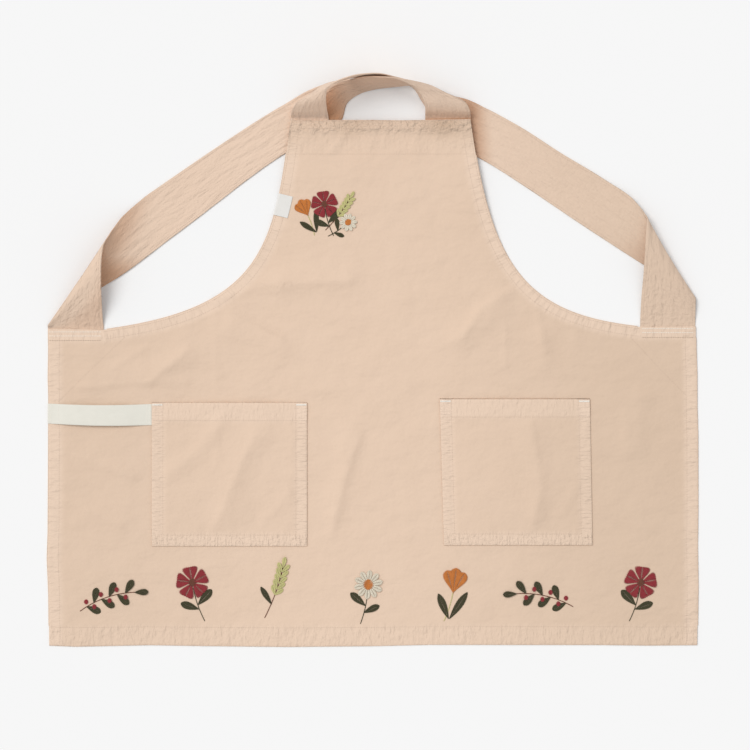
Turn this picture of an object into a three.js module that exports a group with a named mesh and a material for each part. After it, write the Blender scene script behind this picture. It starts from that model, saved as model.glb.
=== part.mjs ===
// Cross-back work smock lying front side up on a flat surface.
// Millimetres. X runs across the garment, Y up from the skirt hem to the straps, Z up.
import * as THREE from 'three';

// Cloth walls and the clear distance kept between sewn layers
const CLOTH = 1.0;
const DOUBLED = 1.6;
const BAND = 1.2;
const TAPE = 1.2;
const GAP = 0.4;

// Outline of the body, heights measured up from the skirt hem
const HALF_WIDTH = 455;
const WING_TOP_LEFT = 443;
const WING_TOP_RIGHT = 447;
const WING_INNER_LEFT = -376.6;
const WING_INNER_RIGHT = 373.8;
const BIB_TOP = 736.5;
const BIB_LEFT = -116.2;
const BIB_RIGHT = 137.2;

// Depths of the turned hems
const BIB_HEM = 50;
const SKIRT_HEM = 26;
const SIDE_HEM = 17;
const ARMHOLE_HEM = 15;

// The bib is carried up over the strap ends and the strap that crosses behind each corner
const LIE = DOUBLED + GAP;
const BIB_RISE = 5;
const BIB_RISE_FROM = 520;

// Towel tape between the left side hem and the left pocket
const LOOP_START = -453.5;
const LOOP_MIDDLE = 324.5;
const LOOP_WIDTH = 29;
const LOOP_RISE = 8;
const LOOP_SAG = 2;

// Label folded over the left edge of the bib
const LABEL_MIDDLE = 617.5;
const LABEL_HEIGHT = 30;
const LABEL_FRONT = 19;
const LABEL_BACK = 14;

// Patch pockets: corners on the body, room inside and the folds that show on the front
const POCKET_EASE = 6.2;
const POCKETS = {
  left: {
    lowLeft: [-309.5, 140.2],
    lowRight: [-93.1, 140.2],
    topRight: [-93.1, 339.5],
    topLeft: [-309.5, 339.5],
    folds: [
      { from: [-158, 296], to: [-192, 242], breadth: 17, rise: 3.0 },
      { from: [-192, 242], to: [-208, 180], breadth: 17, rise: 3.0 },
    ],
  },
  right: {
    lowLeft: [99.3, 140.8],
    lowRight: [307, 140.8],
    topRight: [303.2, 345],
    topLeft: [93.4, 345],
    folds: [
      { from: [217, 305], to: [233, 240], breadth: 17, rise: 2.6 },
      { from: [233, 240], to: [229, 182], breadth: 17, rise: 2.6 },
    ],
  },
};

// Main folds of the body: a soft ridge from one point to another
const BODY_FOLDS = [
  { name: 'below left armhole', from: [-122, 507], to: [-36, 516], breadth: 22, rise: 4.2 },
  { name: 'left chest', from: [-196, 446], to: [-132, 420], breadth: 18, rise: 2.4 },
  { name: 'below right armhole', from: [174, 478], to: [124, 432], breadth: 20, rise: 4.0 },
  { name: 'right chest', from: [236, 430], to: [241, 404], breadth: 15, rise: 2.2 },
  { name: 'left wing', from: [-312, 376], to: [-262, 404], breadth: 16, rise: 3.0 },
  { name: 'above the loop', from: [-392, 376], to: [-330, 380], breadth: 15, rise: 2.2 },
  { name: 'between the pockets', from: [-32, 292], to: [-55, 187], breadth: 15, rise: 3.2 },
  { name: 'left side', from: [-396, 258], to: [-350, 240], breadth: 16, rise: 2.2 },
  { name: 'left side, low', from: [-396, 188], to: [-352, 169], breadth: 16, rise: 2.0 },
  { name: 'right side', from: [372, 344], to: [364, 274], breadth: 16, rise: 2.2 },
];

// Right strap: right bib corner, arch, left diagonal, rolled fold, left wing
const STRAP_RIGHT = [
  { at: 'tucked end', inner: [73, 705, 4.2], outer: [138, 705, 4.2] },
  { at: 'bib edge', inner: [73, 737, 4.2], outer: [137, 737, 4.2] },
  { at: 'lifting', inner: [73, 750, 12], outer: [136, 746, 9.5] },
  { at: 'rising', inner: [71, 760, 30], outer: [128, 758, 17] },
  { at: 'turning', inner: [58, 776, 50], outer: [102, 776, 24] },
  { at: 'leaning', inner: [41, 785, 60], outer: [71, 787, 30] },
  { at: 'on edge', inner: [18, 790, 57], outer: [48, 783, 17] },
  { at: 'top', inner: [-10, 790, 49], outer: [22, 781, 4] },
  { at: 'falling', inner: [-31, 782, 30], outer: [-15, 776, 1.5] },
  { at: 'gathered', inner: [-59, 785, 15], outer: [-38, 759, 0.8] },
  { at: 'passing under', inner: [-87, 778, 5], outer: [-43, 737, 0.8] },
  { at: 'flat', inner: [-123, 759, 0.8], outer: [-73, 710, 0.8] },
  { at: 'diagonal', inner: [-158, 738, 0.8], outer: [-120, 680, 0.8] },
  { at: 'diagonal', inner: [-298, 645, 0.8], outer: [-259, 584, 0.8] },
  { at: 'lifting', inner: [-323, 627, 2.5], outer: [-287, 565, 0.8] },
  { at: 'roll start', inner: [-356, 596, 12], outer: [-347, 523, 0.8] },
  { at: 'roll side', inner: [-373, 568, 20], outer: [-416, 478, 1.5] },
  { at: 'fold', inner: [-377, 559, 29], outer: [-455, 454, 4] },
  { at: 'roll top', inner: [-381, 537, 33], outer: [-455, 451, 6] },
  { at: 'wing', inner: [-380, 498, 20], outer: [-455, 448, 5] },
  { at: 'wing', inner: [-378, 461, 5.5], outer: [-455, 446, 3] },
  { at: 'seam', inner: [-377, 444, 0.8], outer: [-455, 444, 0.8] },
  { at: 'tucked end', inner: [-377, 428, 0.8], outer: [-455, 428, 0.8] },
];

// Left strap: left bib corner, arch outside the right strap, right diagonal, rolled fold, right wing
const STRAP_LEFT = [
  { at: 'tucked end', inner: [-62, 705, 4.2], outer: [-115, 705, 4.2] },
  { at: 'bib edge', inner: [-62, 737, 4.2], outer: [-115, 737, 4.2] },
  { at: 'lifting', inner: [-64, 750, 13], outer: [-114, 747, 9.5] },
  { at: 'rising', inner: [-65, 761, 34], outer: [-108, 757, 15] },
  { at: 'turning', inner: [-64, 771, 54], outer: [-87, 769, 24] },
  { at: 'leaning', inner: [-57, 779, 68], outer: [-67, 778, 30] },
  { at: 'on edge', inner: [-42, 787, 72], outer: [-45, 783, 32] },
  { at: 'top', inner: [-17, 793, 66], outer: [-18, 791, 20] },
  { at: 'falling', inner: [7, 796, 57], outer: [11, 792, 7] },
  { at: 'gathered', inner: [35, 794, 45], outer: [36, 788, 2] },
  { at: 'passing under', inner: [60, 791, 27], outer: [56, 780, 0.8] },
  { at: 'passing under', inner: [80, 784, 15], outer: [67, 764, 0.8] },
  { at: 'passing under', inner: [102, 776, 7], outer: [80, 743, 0.8] },
  { at: 'flat', inner: [126, 763, 2], outer: [95, 718, 0.8] },
  { at: 'diagonal', inner: [160, 753, 0.8], outer: [123, 698, 0.8] },
  { at: 'diagonal', inner: [262, 691, 0.8], outer: [224, 636, 0.8] },
  { at: 'lifting', inner: [323, 654, 2], outer: [290, 593, 0.8] },
  { at: 'roll start', inner: [363, 626, 7], outer: [349, 554, 0.8] },
  { at: 'roll side', inner: [379, 604, 12], outer: [413, 511, 1.5] },
  { at: 'fold', inner: [382, 596, 18], outer: [451, 486, 4] },
  { at: 'roll top', inner: [380, 570, 21], outer: [451, 482, 6] },
  { at: 'wing', inner: [378, 526, 13], outer: [451, 475, 5.5] },
  { at: 'wing', inner: [375, 481, 5], outer: [451, 463, 3] },
  { at: 'seam', inner: [374, 448, 0.8], outer: [451, 448, 0.8] },
  { at: 'tucked end', inner: [374, 432, 0.8], outer: [451, 432, 0.8] },
];

// Colours of the photographed cloth, tape and label
const COLOURS = {
  cloth: '#e4ccb6',
  strap: '#dec3a9',
  hem: '#dfc6af',
  pocket: '#e5cdb8',
  tape: '#e6e3da',
  label: '#ebe8e2',
};

const apron = new THREE.Group();

function addPiece(name, geometry, colour) {
  const material = new THREE.MeshStandardMaterial({ color: colour, roughness: 0.9 });
  const mesh = new THREE.Mesh(geometry, material);
  mesh.name = name;
  apron.add(mesh);
}

// A closed wall of cloth: place(u, v, side) puts each point of the sheet, side 0 below and 1 above
function wall(along, across, place) {
  const geometry = new THREE.BoxGeometry(1, 1, 1, along, across, 1);
  const points = geometry.attributes.position;
  for (let i = 0; i < points.count; i += 1) {
    const spot = place(points.getX(i) + 0.5, points.getY(i) + 0.5, points.getZ(i) + 0.5);
    points.setXYZ(i, spot.x, spot.y, spot.z);
  }
  geometry.computeVertexNormals();
  return geometry;
}

// Height of a soft ridge at a spot, full on its line and gone about two breadths away
function ridge(fold, x, y) {
  const from = new THREE.Vector2(...fold.from);
  const run = new THREE.Vector2(...fold.to).sub(from);
  const spot = new THREE.Vector2(x, y).sub(from);
  const share = THREE.MathUtils.clamp(spot.dot(run) / run.lengthSq(), 0, 1);
  const away = spot.addScaledVector(run, -share).length() / fold.breadth;
  return fold.rise * Math.exp(-away * away);
}

function folds(table, x, y) {
  return table.reduce((sum, fold) => sum + ridge(fold, x, y), 0);
}

// Underside of the body cloth
function underside(x, y) {
  const bib = BIB_RISE * THREE.MathUtils.smoothstep(y, BIB_RISE_FROM, BIB_TOP - BIB_HEM);
  return LIE + bib + folds(BODY_FOLDS, x, y);
}

// Upper edge of the body from the left side to the right side, with the cloth columns along each run
const flatPoint = (x, y) => new THREE.Vector2(x, y);
const armholeLeft = new THREE.CubicBezierCurve(
  flatPoint(WING_INNER_LEFT, WING_TOP_LEFT),
  flatPoint(-157, 472.3),
  flatPoint(-137.1, 555.3),
  flatPoint(BIB_LEFT, BIB_TOP),
);
const armholeRight = new THREE.CubicBezierCurve(
  flatPoint(BIB_RIGHT, BIB_TOP),
  flatPoint(165.4, 519.3),
  flatPoint(221.5, 463.5),
  flatPoint(WING_INNER_RIGHT, WING_TOP_RIGHT),
);
const UPPER_EDGE = [
  {
    curve: new THREE.LineCurve(flatPoint(-HALF_WIDTH, WING_TOP_LEFT), armholeLeft.v0),
    columns: 4,
  },
  { curve: armholeLeft, columns: 12 },
  { curve: new THREE.LineCurve(armholeLeft.v3, armholeRight.v0), columns: 10 },
  { curve: armholeRight, columns: 12 },
  {
    curve: new THREE.LineCurve(armholeRight.v3, flatPoint(HALF_WIDTH, WING_TOP_RIGHT)),
    columns: 4,
  },
];
const COLUMNS = UPPER_EDGE.reduce((sum, run) => sum + run.columns, 0);
const ROWS = 26;

function upperEdge(u) {
  let column = u * COLUMNS;
  for (const run of UPPER_EDGE) {
    if (column <= run.columns + 1e-6) {
      return run.curve.getPointAt(Math.min(column / run.columns, 1));
    }
    column -= run.columns;
  }
  return flatPoint(HALF_WIDTH, WING_TOP_RIGHT);
}

// Body: the cloth ruled from the skirt hem up to the upper edge
addPiece('body_panel', wall(COLUMNS, ROWS, (u, v, side) => {
  const low = flatPoint((u - 0.5) * 2 * HALF_WIDTH, 0);
  const spot = low.lerp(upperEdge(u), v);
  return { x: spot.x, y: spot.y, z: underside(spot.x, spot.y) + side * CLOTH };
}), COLOURS.cloth);

// Turned hems lie under the edge of the body
function hem(along, thickness, spotAt) {
  return wall(along, 1, (u, v, side) => {
    const spot = spotAt(u, v);
    const top = underside(spot.x, spot.y) - GAP;
    return { x: spot.x, y: spot.y, z: top - (1 - side) * thickness };
  });
}

const span = (low, high, share) => THREE.MathUtils.lerp(low, high, share);

addPiece('skirt_hem', hem(26, DOUBLED, (u, v) => (
  flatPoint(span(-HALF_WIDTH, HALF_WIDTH, u), SKIRT_HEM * v)
)), COLOURS.hem);

addPiece('side_hem_left', hem(14, DOUBLED, (u, v) => (
  flatPoint(-HALF_WIDTH + SIDE_HEM * (1 - v), span(SKIRT_HEM + 1, WING_TOP_LEFT - 16, u))
)), COLOURS.hem);

addPiece('side_hem_right', hem(14, DOUBLED, (u, v) => (
  flatPoint(HALF_WIDTH - SIDE_HEM * v, span(SKIRT_HEM + 1, WING_TOP_RIGHT - 16, u))
)), COLOURS.hem);

// The bib hem tapers with the bib edges, found on the armhole curves at its lower fold
function edgeAtHeight(curve, height) {
  let low = 0;
  let high = 1;
  const rising = curve.getPoint(1).y > curve.getPoint(0).y;
  for (let step = 0; step < 40; step += 1) {
    const middle = (low + high) / 2;
    const above = curve.getPoint(middle).y > height;
    if (above === rising) {
      high = middle;
    } else {
      low = middle;
    }
  }
  return (low + high) / 2;
}

const BIB_HEM_LOW = BIB_TOP - BIB_HEM;
const leftFoldShare = edgeAtHeight(armholeLeft, BIB_HEM_LOW);
const rightFoldShare = edgeAtHeight(armholeRight, BIB_HEM_LOW);

addPiece('bib_hem', hem(12, BAND, (u, v) => {
  const left = armholeLeft.getPoint(span(leftFoldShare, 1, v));
  const right = armholeRight.getPoint(span(rightFoldShare, 0, v));
  return flatPoint(span(left.x, right.x, u), span(BIB_HEM_LOW, BIB_TOP, v));
}), COLOURS.hem);

// Armhole hems follow the curve, from beside the strap end to just under the bib hem
function armholeHem(curve, start, end) {
  return hem(20, DOUBLED, (u, v) => {
    const share = span(start, end, u);
    const ahead = curve.getTangent(share);
    const inward = flatPoint(ahead.y, -ahead.x);
    return curve.getPoint(share).addScaledVector(inward, ARMHOLE_HEM * (1 - v));
  });
}

addPiece('armhole_hem_left', armholeHem(
  armholeLeft,
  0.006,
  edgeAtHeight(armholeLeft, BIB_HEM_LOW - 1),
), COLOURS.hem);

addPiece('armhole_hem_right', armholeHem(
  armholeRight,
  edgeAtHeight(armholeRight, BIB_HEM_LOW - 3.5),
  0.992,
), COLOURS.hem);

// Smooth run through the rows of a table that keeps level stretches level
function smoothRun(knots, values) {
  const slopes = values.slice(1).map((value, i) => (value - values[i]) / (knots[i + 1] - knots[i]));
  const leans = values.map((value, i) => {
    const before = slopes[Math.max(i - 1, 0)];
    const after = slopes[Math.min(i, slopes.length - 1)];
    return before * after <= 0 ? 0 : (2 * before * after) / (before + after);
  });
  return (at) => {
    let i = 0;
    while (i < slopes.length - 1 && at > knots[i + 1]) {
      i += 1;
    }
    const width = knots[i + 1] - knots[i];
    const t = THREE.MathUtils.clamp((at - knots[i]) / width, 0, 1);
    const rest = 1 - t;
    return values[i] * (1 + 2 * t) * rest * rest + leans[i] * width * t * rest * rest
      + values[i + 1] * t * t * (3 - 2 * t) - leans[i + 1] * width * t * t * rest;
  };
}

// Sections of a strap between two rows of its table
const SECTIONS = 3;

// A strap is ruled between its two long edges, each run through the rows of its table
function strap(table) {
  const middles = table.map((row) => (
    new THREE.Vector3(...row.inner).add(new THREE.Vector3(...row.outer)).multiplyScalar(0.5)
  ));
  const knots = [0];
  for (let i = 1; i < middles.length; i += 1) {
    knots.push(knots[i - 1] + middles[i].distanceTo(middles[i - 1]));
  }
  const run = (edge, axis) => smoothRun(knots, table.map((row) => row[edge][axis]));
  const edges = ['inner', 'outer'].map((edge) => [0, 1, 2].map((axis) => run(edge, axis)));
  const intervals = table.length - 1;
  const length = knots[intervals];
  const spotAt = (s, v) => {
    const [inner, outer] = edges.map((edge) => new THREE.Vector3(...edge.map((f) => f(s))));
    return inner.lerp(outer, v);
  };
  return wall(intervals * SECTIONS, 2, (u, v, side) => {
    const row = Math.min(Math.floor(u * intervals + 1e-6), intervals - 1);
    const s = span(knots[row], knots[row + 1], u * intervals - row);
    const steady = THREE.MathUtils.clamp(v, 0.2, 0.8);
    const before = spotAt(Math.max(s - 1, 0), steady);
    const ahead = spotAt(Math.min(s + 1, length), steady).sub(before);
    const across = spotAt(s, 1).sub(spotAt(s, 0));
    const face = ahead.cross(across).normalize();
    return spotAt(s, v).addScaledVector(face, (side - 0.5) * DOUBLED);
  });
}

addPiece('strap_right', strap(STRAP_RIGHT), COLOURS.strap);
addPiece('strap_left', strap(STRAP_LEFT), COLOURS.strap);

// Patch pockets stand a little off the body towards the mouth
function pocket(shape) {
  const lowLeft = flatPoint(...shape.lowLeft);
  const lowRight = flatPoint(...shape.lowRight);
  const topLeft = flatPoint(...shape.topLeft);
  const topRight = flatPoint(...shape.topRight);
  return wall(12, 10, (u, v, side) => {
    const low = lowLeft.clone().lerp(lowRight, u);
    const spot = low.lerp(topLeft.clone().lerp(topRight, u), v);
    const swell = Math.sqrt(Math.sin(Math.PI * u)) * THREE.MathUtils.smoothstep(v, 0, 0.45);
    const front = LIE + CLOTH + GAP + POCKET_EASE * swell;
    return {
      x: spot.x,
      y: spot.y,
      z: front + swell * folds(shape.folds, spot.x, spot.y) + side * CLOTH,
    };
  });
}

addPiece('pocket_left', pocket(POCKETS.left), COLOURS.pocket);
addPiece('pocket_right', pocket(POCKETS.right), COLOURS.pocket);

// Towel tape: sewn flat at both ends, standing off the body between them
const LOOP_END = POCKETS.left.topLeft[0] - 1;
addPiece('towel_loop', wall(18, 1, (u, v, side) => {
  const lift = THREE.MathUtils.smoothstep(Math.sin(Math.PI * u), 0.1, 0.75);
  return {
    x: span(LOOP_START, LOOP_END, u),
    y: LOOP_MIDDLE - LOOP_SAG * Math.sin(Math.PI * u) + LOOP_WIDTH * (v - 0.5),
    z: LIE + CLOTH + GAP + LOOP_RISE * lift + side * TAPE,
  };
}), COLOURS.tape);

// Label: front leaf, round fold past the bib edge, back leaf under the armhole hem
addPiece('label', wall(14, 2, (u, v, side) => {
  const height = LABEL_MIDDLE + LABEL_HEIGHT * (0.5 - v);
  const edge = armholeLeft.getPoint(edgeAtHeight(armholeLeft, height));
  const slope = armholeLeft.getTangent(edgeAtHeight(armholeLeft, LABEL_MIDDLE));
  const cloth = underside(edge.x, edge.y);
  const front = cloth + CLOTH + GAP + CLOTH / 2;
  const back = cloth - GAP - DOUBLED - GAP - CLOTH / 2;
  const middle = (front + back) / 2;
  const bend = (front - back) / 2;
  const path = u * (LABEL_FRONT + Math.PI * bend + LABEL_BACK);
  const round = THREE.MathUtils.clamp((path - LABEL_FRONT) / bend, 0, Math.PI);
  const inset = path < LABEL_FRONT
    ? LABEL_FRONT - path
    : Math.max(path - LABEL_FRONT - Math.PI * bend, 0);
  const reach = bend + (side - 0.5) * CLOTH;
  const outward = Math.sin(round) * reach - inset;
  return {
    x: edge.x - outward * slope.y,
    y: edge.y + outward * slope.x,
    z: middle + Math.cos(round) * reach,
  };
}), COLOURS.label);

// The garment is centred over the origin and rests on the plane Z = 0
const extent = new THREE.Box3().setFromObject(apron, true);
const centre = extent.getCenter(new THREE.Vector3());
apron.position.set(-centre.x, -centre.y, -extent.min.z);

export default apron;
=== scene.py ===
import math

import bmesh
import bpy
import numpy as np
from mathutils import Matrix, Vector


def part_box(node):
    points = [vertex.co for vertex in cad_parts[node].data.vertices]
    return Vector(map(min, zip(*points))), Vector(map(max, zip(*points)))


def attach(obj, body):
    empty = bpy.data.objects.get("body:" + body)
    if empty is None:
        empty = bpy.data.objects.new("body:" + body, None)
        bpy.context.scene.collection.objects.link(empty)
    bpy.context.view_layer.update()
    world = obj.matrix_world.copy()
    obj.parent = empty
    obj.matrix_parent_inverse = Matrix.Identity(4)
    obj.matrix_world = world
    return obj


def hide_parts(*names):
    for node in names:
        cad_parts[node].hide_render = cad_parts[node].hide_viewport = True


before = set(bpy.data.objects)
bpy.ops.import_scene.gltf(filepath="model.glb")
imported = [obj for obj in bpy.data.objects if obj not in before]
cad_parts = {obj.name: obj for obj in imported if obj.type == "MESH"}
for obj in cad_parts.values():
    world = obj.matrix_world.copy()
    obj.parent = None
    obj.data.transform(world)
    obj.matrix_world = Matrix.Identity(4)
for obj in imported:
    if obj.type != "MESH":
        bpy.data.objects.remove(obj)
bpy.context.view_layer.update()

# Garment measures are millimetres: X from the middle, Y up from the skirt hem, Z up from the floor.
MM = 0.001
MM_IN_METRE = 1000
PANEL_LOW, PANEL_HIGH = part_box("body_panel")
ORIGIN = np.array([(PANEL_LOW.x + PANEL_HIGH.x) / 2, PANEL_LOW.y, 0.0])

# Cloth walls
CLOTH = 0.8
DOUBLED = 1.0
STRAP_WALL = 1.4
TAPE = 1.0
LABEL_WALL = 0.7
LAYER = 0.05

# Outline of the body
HALF_WIDTH = 455.0
WING_TOP_LEFT = 443.0
WING_TOP_RIGHT = 447.0
BIB_TOP = 736.5
ARMHOLE_LEFT = ((-376.6, 443.0), (-157.0, 472.3), (-137.1, 555.3), (-116.2, 736.5))
ARMHOLE_RIGHT = ((137.2, 736.5), (165.4, 519.3), (221.5, 463.5), (373.8, 447.0))
EDGE_COLUMNS = (24, 72, 60, 72, 24)
BODY_ROWS = 182

# The rounded folds of the hems: radius, and how far they stand outside the flat cloth
HEM_BEND = (CLOTH / 2 + DOUBLED / 2 + LAYER) / 2
BEAD = HEM_BEND + DOUBLED / 2

# How far each edge strays from its straight line: place along the edge, then the stray
SKIRT_STRAY = (
    (-455, 0.0), (-417, -1.6), (-312, 0.6), (-240, -0.6), (-120, -1.9), (0, -0.8),
    (80, 1.1), (200, 0.9), (318, 0.8), (388, 0.0), (455, 0.6),
)
LEFT_STRAY = (
    (0, 1.0), (70, 0.4), (122, -1.8), (160, -0.5), (250, 0.0), (349, 0.4), (375, -0.5),
    (416, 0.4), (447, -0.5),
)
RIGHT_STRAY = (
    (0, -0.4), (85, 0.8), (138, -0.2), (190, 0.5), (295, 0.3), (335, -0.8), (380, -0.8),
    (416, -2.2), (447, -2.4),
)
BIB_STRAY = (
    (-117, -1.6), (-80, -1.4), (-38, -1.2), (0, -1.2), (40, -1.7), (90, -0.9), (138, -0.4),
)

# Where the stray of the sides and of the bib sets in, and where the skirt's has faded
STRAY_SIDES_FROM = 360
STRAY_BIB_FROM = 690
STRAY_SKIRT_TO = 60

# Depths of the turned hems
BIB_HEM = 50.0
SKIRT_HEM = 26.0
SIDE_HEM = 17.0
ARMHOLE_HEM = 15.0
WING_HEM = 16.0

# How the marks of a hem fade around its stitch line, then how crinkled the skirt's hem, the bib's band
# and the rim of that band are
HEM_FADE = (-4, 7)
SKIRT_CRINKLE = 0.5
BAND_CRINKLE = 1.3
BAND_RIM = 16
BAND_RIM_CRINKLE = 1.9

# How puckers and crinkles leave the bib's band below its top edge: start, end and share
BAND_FADES = ((10, 20, 0.55), (40, 56, 0.45))

# Paler cloth along the hems: how pale the skirt's is, and where it ends below the bib's top
SKIRT_PALE = 0.35
PALE_BELOW_BIB = (20, 60)

# Painted shade on the bib's top where the strap fronts shade it: place along it, breadth and depth of
# each spot, then the shade all along it and how it fades below the top
BIB_SHADE_SPOTS = ((-32, 26, 0.35), (98, 26, 0.7))
BIB_SHADE_ALL_ALONG = 0.2
BIB_SHADE_FADE = (6, 36)

# How the body lies: over its hems, down inside them, and up over the strap ends
LIE = DOUBLED + LAYER
INSIDE_DROP = 0.4
INSIDE_STEP = (-1.5, 4.0)
BIB_RISE = 5.0
BIB_RISE_FROM = 520.0
BIB_BAND_RISE = 2.2
BIB_CURL = 3.0
BIB_CURL_ACROSS = (75, 150)
BIB_CURL_UP = (540, 660)
WING_RISE = 0.6
WING_RISE_ACROSS = (350, 370)
WING_RISE_UP = (390, 420)

# Slight unevenness of washed cloth: a wave across, a wave up, and the height of the two together
# A wave is given by its length, its sway, the length of the sway and its start
DRIFT = (
    ((61, 1.1, 83, 0.0), (57, 0.9, 97, 0.0), 0.5),
    ((23, 2.0, 41, 0.7), (27, 1.6, 35, 0.0), 0.15),
)

# Soft folds of the body: path, breadth, rise
BODY_FOLDS = (
    (((-122, 507), (-36, 516)), 22, 4.2),
    (((-196, 446), (-132, 420)), 18, 2.4),
    (((174, 478), (124, 432)), 20, 4.0),
    (((236, 430), (241, 404)), 15, 2.2),
    (((-312, 376), (-262, 404)), 16, 3.0),
    (((-392, 376), (-330, 380)), 15, 2.2),
    (((-32, 292), (-55, 187)), 15, 3.2),
    (((-396, 258), (-350, 240)), 16, 2.2),
    (((-396, 188), (-352, 169)), 16, 2.0),
    (((372, 344), (364, 274)), 16, 2.2),
)

# Narrow creases pressed into the body: path, breadth, rise
BODY_CREASES = (
    (((-220, 484), (-172, 498), (-102, 507), (-32, 511)), 6, 1.8),
    (((195, 496), (151, 471), (125, 432)), 6, 1.8),
    (((230, 475), (239, 414)), 5, 1.1),
    (((283, 460), (283, 421)), 5, 1.0),
    (((185, 446), (185, 386)), 5, 0.8),
    (((-360, 391), (-318, 418)), 5, 1.3),
    (((-312, 370), (-260, 414)), 5, 1.4),
    (((-410, 362), (-330, 368), (-260, 370)), 5, 1.1),
    (((-199, 467), (-158, 446), (-129, 432)), 5, 1.3),
    (((-221, 470), (-219, 356)), 4, 0.8),
    (((-18, 295), (-38, 240), (-57, 162)), 6, 1.6),
    (((-417, 267), (-370, 252), (-332, 236)), 5, 1.1),
    (((-430, 204), (-354, 169)), 5, 1.1),
    (((353, 330), (353, 280)), 5, 1.0),
    (((-42, 714), (-57, 690)), 5, 1.4),
    (((-82, 725), (-92, 712)), 4, 1.2),
    (((-3, 722), (-5, 694)), 7, 1.0),
    (((20, 725), (15, 700)), 5, 0.8),
    (((62, 718), (58, 696)), 7, 1.0),
    (((90, 722), (88, 692)), 5, 0.9),
    (((112, 708), (132, 700)), 5, 1.1),
)

# Patch pockets: hem at the mouth, border turned under, and how high each part of the front stands
POCKET_GRID = (72, 76)
POCKET_HEM = 25.0
POCKET_HEM_BEND = 0.75
POCKET_LEAF = POCKET_HEM - 1
POCKET_BAND = 0.6
POCKET_BAND_STEP = (-1, 3)
POCKET_BORDER = 15.5
POCKET_TURN = 0.7
POCKET_TURN_FADE = (7, 14)
POCKET_PUFF = 0.7
POCKET_PUFF_STEP = (-2, 6)
POCKET_FOLDS_STEP = (-6, 12)
POCKET_EASE = 2.4
POCKET_EASE_UP = 0.45
POCKET_ROUNDNESS = 1.4
POCKET_CORNER_ROOM = 0.02

# Crinkled, puckered and paler cloth along a pocket's foot, mouth and sides
POCKET_FOOT_CRINKLE = 1.8
POCKET_MOUTH_CRINKLE = 0.5
POCKET_MOUTH_PUCKER = 0.5
POCKET_PALE = 0.7
POCKET_CORNER_PALE = 0.6

# The two pockets: corners on the body, then the folds of the front
POCKETS = {
    "left": {
        "corners": ((-309.5, 139.4), (-92.4, 139.4), (-92.4, 340.0), (-309.5, 340.0)),
        "folds": (
            (((-158, 296), (-192, 242), (-208, 180)), 17, 3.0),
            (((-168, 292), (-205, 204), (-225, 160)), 6, 0.9),
            (((-288, 242), (-246, 268), (-214, 312)), 11, 2.2),
            (((-151, 176), (-116, 211)), 8, 1.2),
            (((-218, 309), (-218, 257)), 5, 0.6),
        ),
    },
    "right": {
        "corners": ((99.3, 140.8), (307.0, 140.8), (303.2, 345.0), (93.4, 345.0)),
        "folds": (
            (((217, 305), (233, 240), (229, 182)), 17, 2.6),
            (((221, 309), (235, 222), (221, 160)), 6, 0.8),
            (((283, 218), (262, 183)), 7, 0.7),
        ),
    },
}

# Towel tape, which arches from the side hem to the left pocket
LOOP_GRID = (90, 14)
LOOP_ENDS = (-455.0, -309.3)
LOOP_MIDDLES = (324.8, 323.4)
LOOP_WIDTHS = (28.0, 29.6)
LOOP_SAG = 2.0
LOOP_CLEAR = 0.8
LOOP_RISE = 3.6
LOOP_RISE_FROM = 0.05

# Label: its place, the lengths in front of and behind the bib's edge, and its room over the cloth
LABEL_GRID = (40, 20)
LABEL_MIDDLE = 617.5
LABEL_HEIGHT = 30.0
LABEL_LENGTH = 42
LABEL_FRONT = 19.0
LABEL_BACK = 14.0
LABEL_FRONT_ROOM = 0.6
LABEL_BACK_ROOM = 0.5

# Straps: inner edge, outer edge and bow of the middle at each section, from bib corner to wing
STRAP_RIGHT = (
    ((73, 705, 4.2), (138, 705, 7)),
    ((73, 737, 5), (137, 737, 7.5)),
    ((73, 748, 17), (135.5, 746, 17)),
    ((71, 759, 28), (128.5, 758, 26)),
    ((60, 775.5, 37), (101, 771, 31), (0, 0, 1)),
    ((41, 785, 48), (71, 782.5, 33), (0, 2, 2)),
    ((18, 790, 55), (48, 782, 22), (0, 3, 3)),
    ((-10, 790.8, 54), (20, 781, 4)),
    ((-34, 789.6, 24), (-12, 775, 1.5)),
    ((-60, 786, 18), (-37, 758, 0.8)),
    ((-87, 778, 6), (-43.5, 737, 0.8)),
    ((-123, 758, 0.8), (-73, 716, 0.8)),
    ((-158, 737, 0.8), (-122, 689.5, 0.8)),
    ((-298, 643, 0.8), (-259, 588, 0.8)),
    ((-323, 625, 1), (-287, 567, 0.8)),
    ((-354, 595, 12), (-347, 522, 1.5), (0, 0, 3)),
    ((-369, 570, 28), (-412, 481, 4), (0, 0, 9)),
    ((-374, 560, 34), (-455, 447.5, 2.4), (0.5, -0.5, 2)),
    ((-377, 538, 36), (-455, 446.6, 2.2), (1, -1, 1)),
    ((-378, 498, 27), (-455, 445.8, 1.7), (1, -1, -2)),
    ((-378, 461, 7.5), (-455, 445, 1.2), (0, 0, -1)),
    ((-377, 444, 0.8), (-455, 444, 0.8)),
    ((-377, 428, 0.8), (-455, 428, 0.8)),
)
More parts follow.
